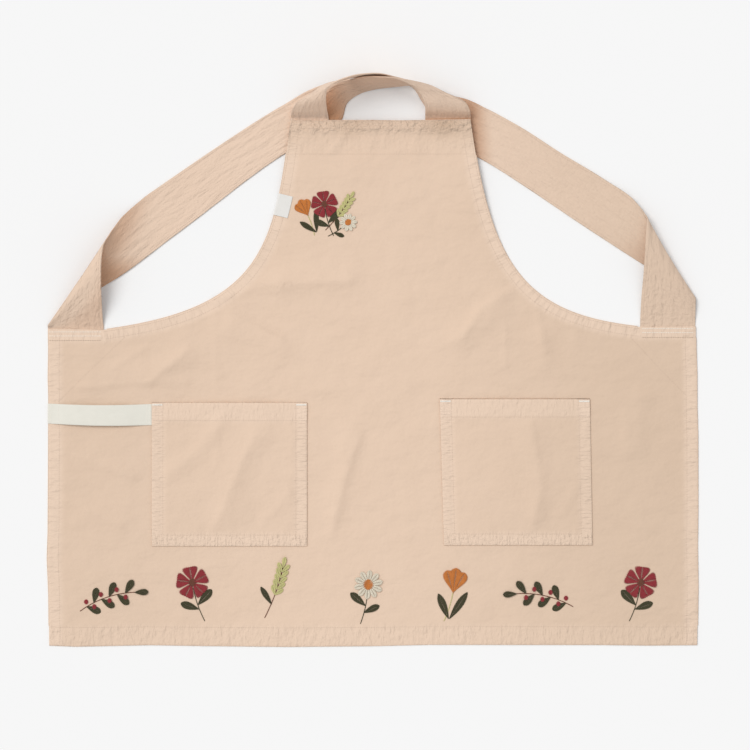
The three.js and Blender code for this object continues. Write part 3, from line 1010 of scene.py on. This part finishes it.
def straight(start, end, inward):
    """Folded edge between two spots."""
    start, end, inward = (np.array(spot, dtype=float) for spot in (start, end, inward))

    def edge_at(u):
        return start + (end - start) * u[:, None], np.tile(inward, (len(u), 1))

    return edge_at


def curved(curve, low, high):
    """Folded edge along a curve between two shares of it."""
    inner = inset_curve(curve, 1.0)

    def edge_at(u):
        share = ease(low, high, u)
        spots, deeper = (
            np.stack([np.interp(share, FINE, line[:, i]) for i in (0, 1)], axis=1)
            for line in (curve, inner)
        )
        return spots, deeper - spots

    return edge_at


turned_hem(
    "skirt_hem_turn", "skirt_hem", 240,
    straight((-SIDE, BEAD), (SIDE, BEAD), (0, 1)),
    SKIRT_HEM, (0.910, 0.028),
)
turned_hem(
    "side_hem_turn_left", "side_hem_left", 110,
    straight((-SIDE, WING_TOP_LEFT - WING_HEM), (-SIDE, SKIRT_HEM + SIDE_HEM_CLEAR), (1, 0)),
    SIDE_HEM, (0.400, 0.019),
)
turned_hem(
    "side_hem_turn_right", "side_hem_right", 110,
    straight((SIDE, SKIRT_HEM + SIDE_HEM_CLEAR), (SIDE, WING_TOP_RIGHT - WING_HEM), (-1, 0)),
    SIDE_HEM, (0.404, 0.019),
)
turned_hem(
    "armhole_hem_turn_left", "armhole_hem_left", 120,
    curved(LEFT_CURVE, *ARMHOLE_LEFT_SPAN),
    ARMHOLE_HEM, (0.392, 0.017),
)
turned_hem(
    "armhole_hem_turn_right", "armhole_hem_right", 120,
    curved(RIGHT_CURVE, *ARMHOLE_RIGHT_SPAN),
    ARMHOLE_HEM, (0.392, 0.017),
)
turned_hem(
    "bib_hem_turn", "bib_hem", 90,
    straight(BIB_LINE[1], BIB_LINE[0], (0, -1)),
    BIB_HEM, (0.2534, 0.052),
)


# Straps: the shares of the breadth between which the way that a strap faces is read
STEADY = (0.2, 0.8)


def smooth_run(knots, values, at):
    """Smooth line through the rows of a table that keeps level stretches level."""
    widths = np.diff(knots)
    slopes = np.diff(values) / widths
    before = np.concatenate([[slopes[0]], slopes])
    after = np.concatenate([slopes, [slopes[-1]]])
    total = before + after
    together = before * after > 0
    leans = np.where(together, 2 * before * after / np.where(together, total, 1.0), 0.0)
    i = np.clip(np.searchsorted(knots, at, side="right") - 1, 0, len(widths) - 1)
    t = np.clip((at - knots[i]) / widths[i], 0, 1)
    rest = 1 - t
    rising = values[i] * (1 + 2 * t) * rest**2 + leans[i] * widths[i] * t * rest**2
    return rising + values[i + 1] * t**2 * (3 - 2 * t) - leans[i + 1] * widths[i] * t**2 * rest


class Strap:
    """A strap drawn between its two long edges, bowed across where its table says."""

    def __init__(self, table):
        rows = np.array([(*row, (0, 0, 0))[:3] for row in table], dtype=float)
        middles = rows[:, :2].mean(axis=1)
        steps = np.linalg.norm(np.diff(middles, axis=0), axis=1)
        self.rows = rows
        self.knots = np.concatenate([[0.0], np.cumsum(steps)])
        self.length = self.knots[-1]
        halfway = len(rows) // 2
        ahead = middles[halfway + 1] - middles[halfway]
        across = rows[halfway, 1] - rows[halfway, 0]
        self.side = np.sign(np.cross(ahead, across)[2])

    def ruled(self, s, v):
        """Spots at a length along the strap and a share across it."""
        s = np.clip(s, 0, self.length)
        inner, outer, bow = (
            np.stack([smooth_run(self.knots, self.rows[:, i, axis], s) for axis in range(3)], axis=1)
            for i in range(3)
        )
        share = v[:, None]
        return ease(inner, outer, share) + bow * 4 * share * (1 - share)

    def crumpled(self, s, v):
        """The strap with its pressed-in crumples, which fade out at the arch and at the sewn end."""
        free = smoothstep(s, *CRUMPLES_BEGIN) * (1 - smoothstep(s, *CRUMPLES_END))
        across = v * STRAP_BREADTH
        height = sum(
            depth * (1 + np.sin(2 * np.pi * (s / length + across / breadth + start)))
            for length, breadth, start, depth in STRAP_CRUMPLES
        )
        return self.ruled(s, v) + self.up(s, v) * (free * height)[:, None]

    def up(self, s, v):
        """Direction out of the strap's face, upwards where it lies on the floor."""
        steady = np.clip(v, *STEADY)
        ahead = self.ruled(s + 1, steady) - self.ruled(s - 1, steady)
        across = self.ruled(s, np.ones(len(s))) - self.ruled(s, np.zeros(len(s)))
        face = self.side * np.cross(ahead, across)
        return face / np.linalg.norm(face, axis=1)[:, None]


def painted_strap_shade(table, s, v):
    """Depth of the painted shade at a place along and across a strap."""
    deepest = np.zeros(len(s))
    for spot in table:
        coming = smoothstep(s - ease(*spot["start"], v), 0, spot["rise"])
        going = smoothstep(s - ease(*spot["end"], v), 0, spot["fall"])
        deepest = np.maximum(deepest, spot["depth"] * coming * (1 - going))
    return deepest


def strap_piece(name, node, table, shade_table, flat):
    """Makes the cloth of a strap, and gives back the strap for its seams."""
    strap = Strap(table)
    width, length = (size * MM_IN_METRE for size in flat)

    def lay(u, v):
        return strap.crumpled(u * strap.length, v)

    def cut(u, v):
        return np.stack([u * length, v * width], axis=1)

    def marks(u, v):
        edge = np.minimum(v, 1 - v) * width
        sewn = smoothstep(u, *SEWN_END)
        return {
            "pucker_across": (1 - smoothstep(edge, *STRAP_EDGE)) * (1 - SEWN_PUCKER_EASE * sewn * v),
            "crinkle": SEWN_CRINKLE * sewn * (1 - SEWN_CRINKLE_EASE * v),
            # painted shade of the strap's rolls, arch and the bib's edge
            "painted_strap_shade": painted_strap_shade(shade_table, u * strap.length, v),
        }

    piece = cloth_piece(name, STRAP_GRID, lay, STRAP_WALL, strap_finish, cut, marks)
    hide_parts(node)
    return strap


right_strap = strap_piece(
    "strap_right_cloth", "strap_right", STRAP_RIGHT, RIGHT_STRAP_SHADE, STRAP_RIGHT_FLAT
)
left_strap = strap_piece("strap_left_cloth", "strap_left", STRAP_LEFT, LEFT_STRAP_SHADE, STRAP_LEFT_FLAT)


# Patch pockets
def pocket_size(shape):
    """Width along the foot, and height."""
    low_left, low_right, top_right, top_left = shape["corners"]
    return low_right[0] - low_left[0], top_left[1] - low_left[1]


def pocket_front(shape, u, v):
    """Middle surface of a pocket at shares across and up."""
    low_left, low_right, top_right, top_left = (np.array(c) for c in shape["corners"])
    low = low_left + (low_right - low_left) * u[:, None]
    high = top_left + (top_right - top_left) * u[:, None]
    x, y = (low + (high - low) * v[:, None]).T
    width = top_right[0] - top_left[0]
    height = top_left[1] - low_left[1]
    border = np.minimum(np.minimum(u, 1 - u) * width, v * height)
    turned = POCKET_TURN * (1 - smoothstep(border, *POCKET_TURN_FADE))
    puff = POCKET_PUFF * step_at(border, POCKET_BORDER, POCKET_PUFF_STEP)
    band = POCKET_BAND * step_at((v - 1) * height, -POCKET_HEM, POCKET_BAND_STEP)
    loose = step_at(border, POCKET_BORDER, POCKET_FOLDS_STEP)
    swell = np.clip(np.sin(np.pi * u), 0, 1) ** POCKET_ROUNDNESS * smoothstep(v, 0, POCKET_EASE_UP)
    z = body_underside(x, y) + CLOTH + LAYER + CLOTH / 2
    z = z + POCKET_EASE * swell + loose * folds(shape["folds"], x, y) + puff * (1 - band) + band + turned
    return np.stack([x, y, z], axis=1)


def pocket_piece(side):
    shape = POCKETS[side]
    width, height = pocket_size(shape)
    bend = POCKET_HEM_BEND
    total = height + math.pi * bend + POCKET_LEAF
    front_share = height / total
    bend_share = math.pi * bend / total

    def lay(u, v):
        up = np.clip(v / front_share, 0, 1)
        angle = np.clip((v - front_share) / bend_share, 0, 1) * math.pi
        back = np.clip((v - front_share - bend_share) * total, 0, POCKET_LEAF)
        front = pocket_front(shape, u, np.where(back > 0, 1 - back / height, up))
        room = np.sqrt(np.clip(np.sin(np.pi * u), POCKET_CORNER_ROOM, 1))
        front[:, 1] += bend * np.sin(angle)
        front[:, 2] -= bend * (1 - np.cos(angle)) * room
        return front

    def marks(u, v):
        up = np.clip(v / front_share, 0, 1)
        sides = near_edge(np.minimum(u, 1 - u) * width, POCKET_BORDER)
        foot = near_edge(up * height, POCKET_BORDER)
        mouth = near_edge((1 - up) * height, POCKET_HEM)
        edges = np.maximum.reduce([sides, foot, mouth])
        return {
            "pucker_across": np.maximum(foot, POCKET_MOUTH_PUCKER * mouth),
            "pucker_up": sides,
            "crinkle": POCKET_FOOT_CRINKLE * foot + POCKET_MOUTH_CRINKLE * mouth,
            "hem_light": POCKET_PALE * edges + POCKET_CORNER_PALE * sides * mouth,
        }

    def cut(u, v):
        return np.stack([u * width, v * total], axis=1)

    piece = cloth_piece(f"pocket_{side}_cloth", POCKET_GRID, lay, CLOTH, pocket_finish, cut, marks)
    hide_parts(f"pocket_{side}")


for pocket_side in POCKETS:
    pocket_piece(pocket_side)


# Towel tape
def tape_middle(u):
    """Y of the tape's middle at a share of its length."""
    return ease(*LOOP_MIDDLES, u) - LOOP_SAG * np.sin(np.pi * u)


def lay_tape(u, v):
    lift = smoothstep(np.sin(np.pi * u), LOOP_RISE_FROM, 1.0)
    x = ease(*LOOP_ENDS, u)
    y = tape_middle(u) + ease(*LOOP_WIDTHS, u) * (v - 0.5)
    cloth = body_underside(x, y) + CLOTH + LAYER
    z = cloth * (1 - lift) + (LIE + CLOTH + LOOP_CLEAR) * lift + LOOP_RISE * lift + TAPE / 2
    return np.stack([x, y, z], axis=1)


def tape_top(x, y):
    """Spots on the upper face of the tape."""
    u = (np.asarray(x) - LOOP_ENDS[0]) / (LOOP_ENDS[1] - LOOP_ENDS[0])
    v = (np.asarray(y) - tape_middle(u)) / ease(*LOOP_WIDTHS, u) + 0.5
    spots = lay_tape(u, v)
    spots[:, 2] += TAPE / 2
    return spots


tape = cloth_piece("towel_tape", LOOP_GRID, lay_tape, TAPE, tape_finish)
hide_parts("towel_loop")


# Label folded over the left edge of the bib
def left_edge(height):
    """X of the bib's left edge at a height."""
    return np.interp(height, LEFT_CURVE[:, 1], LEFT_CURVE[:, 0])


def lay_label(u, v):
    edge_y = LABEL_MIDDLE + LABEL_HEIGHT * (0.5 - v)
    edge_x = left_edge(edge_y)
    ahead = np.array([left_edge(LABEL_MIDDLE + 1) - left_edge(LABEL_MIDDLE - 1), 2.0])
    ahead /= np.linalg.norm(ahead)
    cloth = body_underside(edge_x, edge_y)
    front = cloth + CLOTH + LABEL_FRONT_ROOM
    back = cloth - DOUBLED - LABEL_BACK_ROOM
    bend = (front - back) / 2
    path = u * (LABEL_FRONT + math.pi * bend + LABEL_BACK)
    angle = np.clip((path - LABEL_FRONT) / bend, 0, math.pi)
    behind = np.maximum(path - LABEL_FRONT - math.pi * bend, 0)
    inset = np.where(path < LABEL_FRONT, LABEL_FRONT - path, behind)
    outward = np.sin(angle) * bend - inset
    x = edge_x - outward * ahead[1]
    y = edge_y + outward * ahead[0]
    return np.stack([x, y, (front + back) / 2 + np.cos(angle) * bend], axis=1)


def label_cut(u, v):
    return np.stack([u * LABEL_LENGTH, v * LABEL_HEIGHT], axis=1)


label = cloth_piece("label_tab", LABEL_GRID, lay_label, LABEL_WALL, label_finish, label_cut)
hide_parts("label")


# Threads of the seams: width and height as sewn
SEAM_GAUGE = (0.6, 0.4)
WING_GAUGE = (1.1, 0.6)
GROOVE_SHADOW_GAUGE = (0.9, 0.3)
TACK_GAUGE = (1.2, 0.6)
TAPE_GAUGE = (0.7, 0.5)

# Seams of the body: lines of stitching, and depths of the two along each armhole
ARMHOLE_SEAMS = (13.0, 2.5)
BODY_SEAMS = (
    ((-452, SKIRT_HEM), (452, SKIRT_HEM)),
    ((-439, 2), (-439, 441)),
    ((439, 2), (439, 445)),
    ((-114, BIB_TOP - 2), (135, BIB_TOP - 2)),
    ((-113, BIB_TOP - 12.5), (136, BIB_TOP - 12.5)),
    ((-120, BIB_TOP - 49), (141, BIB_TOP - 49)),
    ((-441, 341), (-378, 402.5), (-347, 432)),
    ((360, 432), (403, 386), (420, 369), (439, 350)),
)
WING_BRIGHT_SEAMS = (
    ((-453, 439), (-380, 439)),
    ((-453, 433.3), (-380, 433.3)),
    ((377, 443.6), (451, 443.6)),
    ((377, 438), (451, 438)),
)
# Real stitch lines in dark thread that paints the shadow of the groove under each wing hem
WING_GROOVE_SHADOWS = (
    ((-453, 427), (-380, 427)),
    ((377, 431.2), (451, 431.2)),
)

armhole_lines = [
    inset_curve(curve, depth) for curve in (LEFT_CURVE, RIGHT_CURVE) for depth in ARMHOLE_SEAMS
]
threads_piece("body_seams", seams(body_top, (*BODY_SEAMS, *armhole_lines)), SEAM_GAUGE, seam_finish)
threads_piece("wing_seams", seams(body_top, WING_BRIGHT_SEAMS), WING_GAUGE, cream_finish)
# Stitches along the wing hems whose dark colour paints the groove's shadow
threads_piece("wing_groove_shadows", seams(body_top, WING_GROOVE_SHADOWS), GROOVE_SHADOW_GAUGE, groove_shadow_finish)


# Seams and bar tacks of the pockets
POCKET_SEAM_SPOTS = 90
MOUTH_SEAM_ENDS = (0.01, 0.99)
TACK_LENGTH = 15.0
TACK_START = 1.0
TACK_PITCH = 0.9
TACK_DEPTHS = (4.2, 1.8)
TACK_ROOM = 0.1
TACK_LIFT = np.array([0.0, 0.0, CLOTH / 2 + TACK_ROOM])


def pocket_seams(shape):
    """Stitches along the sides and foot of a pocket, and under its mouth."""
    width, height = pocket_size(shape)
    side = POCKET_BORDER / width
    foot = POCKET_BORDER / height
    band = 1 - POCKET_HEM / height
    lines = (
        ((side, 1), (side, foot), (1 - side, foot), (1 - side, 1)),
        [(end, band) for end in MOUTH_SEAM_ENDS],
    )
    stitches = []
    for line in lines:
        for start, end in zip(line, line[1:]):
            spots = pocket_front(shape, *np.linspace(start, end, POCKET_SEAM_SPOTS).T)
            spots[:, 2] += CLOTH / 2
            stitches += stitched(spots)
    return stitches


def pocket_tacks(shape):
    """Short dense bars at the two mouth corners of a pocket."""
    width, height = pocket_size(shape)
    across = np.arange(TACK_START, TACK_LENGTH, TACK_PITCH) / width
    stitches = []
    for shares in (across, 1 - across):
        low, high = (
            pocket_front(shape, shares, np.full(len(shares), 1 - depth / height)) + TACK_LIFT
            for depth in TACK_DEPTHS
        )
        stitches += [(start, end, UPWARDS) for start, end in zip(low, high)]
    return stitches


pocket_stitches = []
tack_stitches = []
for pocket in POCKETS.values():
    pocket_stitches += pocket_seams(pocket)
    tack_stitches += pocket_tacks(pocket)
threads_piece("pocket_seams", pocket_stitches, SEAM_GAUGE, seam_finish)
threads_piece("pocket_tacks", tack_stitches, TACK_GAUGE, cream_finish)


# Seams along both edges of the straps, on both faces
STRAP_SEAMS = (0.05, 0.95)
STRAP_SEAM_ENDS = 2
STRAP_SEAM_SPOTS = 420


def strap_seams(strap):
    stitches = []
    s = np.linspace(STRAP_SEAM_ENDS, strap.length - STRAP_SEAM_ENDS, STRAP_SEAM_SPOTS)
    for share in STRAP_SEAMS:
        v = np.full(len(s), share)
        ups = strap.up(s, v)
        for face in (1, -1):
            spots = strap.crumpled(s, v) + ups * face * (STRAP_WALL / 2)
            stitches += stitched(spots, ups * face)
    return stitches


threads_piece("strap_right_seams", strap_seams(right_strap), SEAM_GAUGE, seam_finish)
threads_piece("strap_left_seams", strap_seams(left_strap), SEAM_GAUGE, seam_finish)

# Seams across the two ends of the tape
TAPE_SEAMS = (-451, -440, -317, -312)
TAPE_SEAM_SPAN = (311.5, 337.5)
TAPE_PITCH = 2.6
TAPE_STITCH = 2.2

tape_lines = [[(x, y) for y in TAPE_SEAM_SPAN] for x in TAPE_SEAMS]
tape_stitches = seams(tape_top, tape_lines, TAPE_PITCH, TAPE_STITCH)
threads_piece("tape_seams", tape_stitches, TAPE_GAUGE, cream_finish)


# Embroidery: each motif is a list of shape, place, turn, length, width and thread colour
# A stem has its bend in degrees where other shapes have their width
BEND_STEPS = 24


def bent_line(x, y, turn, length, bend, share):
    """Spot and heading at a share of a line that bends evenly as it goes."""
    headings = np.radians(turn + bend * np.linspace(0, share, BEND_STEPS))
    reach = length * share
    spot = (x + np.cos(headings).mean() * reach, y + np.sin(headings).mean() * reach)
    return spot, turn + bend * share


def round_flower(x, y, petals, length, width, petal, heart, heart_size):
    """Petals all round a heart, with the first pointing up."""
    rows = [
        ("petal", x, y, 90 + 360 * i / petals, length, width, petal) for i in range(petals)
    ]
    return rows + [("disc", x, y, 0, heart_size, heart_size, heart)]


def poppy():
    leaves = [
        ("stem", 0, 8, -90, 40, 18, "olive"),
        ("leaf", 2, -13, 38, 24, 10, "olive"),
        ("leaf", 2, -18, 152, 22, 9, "olive"),
    ]
    return leaves + round_flower(0, 14, 5, 18, 18, "red", "brown", 9)


def daisy():
    leaves = [
        ("stem", 0, 8, -88, 40, -16, "olive"),
        ("leaf", -1, -12, 145, 23, 9, "olive"),
        ("leaf", -2, -20, 30, 20, 8, "olive"),
    ]
    return leaves + round_flower(0, 13, 10, 17, 7, "cream", "orange", 12)


def tulip():
    return [
        ("stem", 0, 2, -92, 36, -14, "lime"),
        ("leaf", 0, -31, 64, 38, 9, "olive"),
        ("leaf", -1, -31, 120, 32, 9, "olive"),
        ("petal", 0, 0, 113, 27, 13, "orange"),
        ("petal", 0, 0, 67, 27, 13, "orange"),
        ("petal", 0, -1, 90, 30, 14, "orange"),
    ]


def wheat():
    stem = (-18, -30, 58, 68, 16)
    rows = [("stem", *stem, "brown"), ("leaf", -8, -14, 118, 26, 7, "olive")]
    for share in (0.46, 0.57, 0.68, 0.79, 0.90):
        (x, y), heading = bent_line(*stem, share)
        rows += [("leaf", x, y, heading + lean, 13, 5.5, "lime") for lean in (34, -34)]
    (x, y), heading = bent_line(*stem, 0.98)
    return rows + [("leaf", x, y, heading, 14, 5.5, "lime")]


def sprig():
    stem = (-36, -14, 30, 74, -34)
    rows = [("stem", *stem, "brown")]
    for i, share in enumerate((0.14, 0.28, 0.42, 0.56, 0.70, 0.84)):
        (x, y), heading = bent_line(*stem, share)
        rows.append(("leaf", x, y, heading + (52 if i % 2 else -52), 19, 9, "olive"))
        rows.append(("disc", x, y + (-5 if i % 2 else 6), 0, 6, 6, "red"))
    (x, y), heading = bent_line(*stem, 1.0)
    return rows + [("leaf", x, y, heading, 17, 8, "olive")]


# Where each motif is sewn: drawing, place, turn, size, and -1 for a mirrored one
LAYOUT = (
    (sprig, -372, 68, 6, 1.12, 1),
    (poppy, -250, 72, 10, 1.2, 1),
    (wheat, -134, 74, 4, 1.12, 1),
    (daisy, -8, 70, -6, 1.2, 1),
    (tulip, 112, 74, -8, 1.2, 1),
    (sprig, 240, 70, 0, 1.12, -1),
    (poppy, 372, 72, -8, 1.2, -1),
    (wheat, -46, 602, -14, 0.84, 1),
    (tulip, -91, 602, 28, 0.84, 1),
    (daisy, -42, 586, -50, 0.74, 1),
    (poppy, -66, 604, 8, 0.98, 1),
)

# Satin stitch: pitch of its threads and of a stem's stitches, height over the cloth and of each layer
SATIN_GAUGE = (1.4, 0.9)
SATIN_ROUGHNESS = 0.5
SATIN_PITCH = 1.0
SATIN_LIFT = 0.3
SATIN_LAYER = 0.12
STEM_PITCH = 2.2

# Leaves and petals: slant of the threads and roundness of the tip, then fullness and overlap at the vein
LEAF_SHAPES = {"leaf": (0.75, 1.0), "petal": (0.45, 0.62)}
LEAF_FULLNESS = 0.8
VEIN_OVERLAP = 0.4
LEAST_CHORD = 0.1


def stem_threads(x, y, turn, length, bend):
    """Stitches along a bent line, each as long as two steps."""
    ends = []
    for i in range(int(length / STEM_PITCH)):
        shares = ((i + step) * STEM_PITCH / length for step in (0, 2))
        ends.append([bent_line(x, y, turn, length, bend, share)[0] for share in shares])
    return ends


def disc_threads(base, ahead, side, width):
    """Chords across a disc."""
    ends = []
    for offset in np.arange((SATIN_PITCH - width) / 2, width / 2, SATIN_PITCH):
        half = math.sqrt(max(width**2 / 4 - offset**2, LEAST_CHORD))
        middle = base + side * offset
        ends.append((middle - ahead * half, middle + ahead * half))
    return ends


def leaf_threads(kind, base, ahead, side, length, width):
    """Slanted threads on both sides of the vein of a leaf or petal."""
    slant, round_tip = LEAF_SHAPES[kind]
    ends = []
    for i in range(int(length / SATIN_PITCH)):
        share = (i + 0.5) * SATIN_PITCH / length
        half = width / 2 * math.sin(math.pi * share ** (1 / round_tip)) ** LEAF_FULLNESS
        vein = base + ahead * share * length
        for way in (1, -1):
            ends.append((vein - ahead * VEIN_OVERLAP, vein + (side * way + ahead * slant) * half))
    return ends


def satin(kind, x, y, turn, length, width):
    """Ends of the threads that fill one shape, as flat start and end spots."""
    if kind == "stem":
        return stem_threads(x, y, turn, length, width)
    base = np.array([x, y], dtype=float)
    ahead = np.array([math.cos(math.radians(turn)), math.sin(math.radians(turn))])
    side = np.array([-ahead[1], ahead[0]])
    if kind == "disc":
        return disc_threads(base, ahead, side, width)
    return leaf_threads(kind, base, ahead, side, length, width)


def motif_threads(drawing, place_x, place_y, turn, size, mirror):
    """Threads of one motif on the cloth, each with its colour, later shapes over earlier ones."""
    spin = math.radians(turn)
    turned = np.array([[math.cos(spin), math.sin(spin)], [-math.sin(spin), math.cos(spin)]])
    threads = []
    for layer, (kind, x, y, heading, length, width, colour) in enumerate(drawing()):
        ends = np.array(satin(kind, x, y, heading, length, width)) * size
        ends[..., 0] *= mirror
        ends = ends @ turned + (place_x, place_y)
        spots = body_top(*ends.reshape(-1, 2).T).reshape(-1, 2, 3)
        spots[..., 2] += SATIN_LIFT + SATIN_LAYER * layer
        threads += [(colour, (start, end, UPWARDS)) for start, end in spots]
    return threads


def sew_embroidery():
    threads = {colour: [] for colour in EMBROIDERY}
    for motif in LAYOUT:
        for colour, stitch in motif_threads(*motif):
            threads[colour].append(stitch)
    for colour, stitches in threads.items():
        finish = thread(f"embroidery_{colour}_thread", EMBROIDERY[colour], SATIN_ROUGHNESS)
        threads_piece(f"embroidery_{colour}", stitches, SATIN_GAUGE, finish)


sew_embroidery()


# Stage: floor, light and a camera straight above, in metres
FLOOR_SIZE = 6.0
FLOOR_COLOUR = (0.90, 0.90, 0.90, 1.0)
ROOM_COLOUR = (1.0, 1.0, 1.0, 1.0)
ROOM_STRENGTH = 0.62
WINDOW_STRENGTH = 1.564
WINDOW_SPREAD = math.radians(36)
WINDOW_HEADING = (0.55, -0.40, -1.0)
SENSOR = 36.0
CAMERA_HEIGHT = 4.0
CAMERA_PLACE = (0.0028, 0.3787)
CAMERA_REACH = 50.0
VIEW_WIDTH = 1.05


def pale_floor():
    mesh = bpy.data.meshes.new("floor")
    bm = bmesh.new()
    bmesh.ops.create_grid(bm, x_segments=1, y_segments=1, size=FLOOR_SIZE)
    bm.to_mesh(mesh)
    bm.free()
    paper = bpy.data.materials.new("floor_paper")
    paper.use_nodes = True
    surface = paper.node_tree.nodes["Principled BSDF"]
    surface.inputs["Base Color"].default_value = FLOOR_COLOUR
    surface.inputs["Roughness"].default_value = 1.0
    surface.inputs["Specular IOR Level"].default_value = 0.0
    mesh.materials.append(paper)
    floor = bpy.data.objects.new("floor", mesh)
    bpy.context.scene.collection.objects.link(floor)


def soft_light():
    scene = bpy.context.scene
    scene.view_settings.view_transform = "Standard"
    scene.view_settings.look = "None"
    scene.world = bpy.data.worlds.new("soft_room")
    scene.world.use_nodes = True
    room = scene.world.node_tree.nodes["Background"]
    room.inputs["Color"].default_value = ROOM_COLOUR
    room.inputs["Strength"].default_value = ROOM_STRENGTH
    sun = bpy.data.lights.new("window_light", "SUN")
    sun.energy = WINDOW_STRENGTH
    sun.angle = WINDOW_SPREAD
    window = bpy.data.objects.new("window_light", sun)
    window.rotation_euler = Vector(WINDOW_HEADING).to_track_quat("-Z", "Y").to_euler()
    scene.collection.objects.link(window)


def overhead_camera():
    lens = bpy.data.cameras.new("overhead")
    lens.sensor_width = SENSOR
    lens.lens = SENSOR * CAMERA_HEIGHT / VIEW_WIDTH
    lens.clip_end = CAMERA_REACH
    overhead = bpy.data.objects.new("overhead", lens)
    overhead.location = (ORIGIN[0] + CAMERA_PLACE[0], ORIGIN[1] + CAMERA_PLACE[1], CAMERA_HEIGHT)
    bpy.context.scene.collection.objects.link(overhead)
    bpy.context.scene.camera = overhead


pale_floor()
soft_light()
overhead_camera()
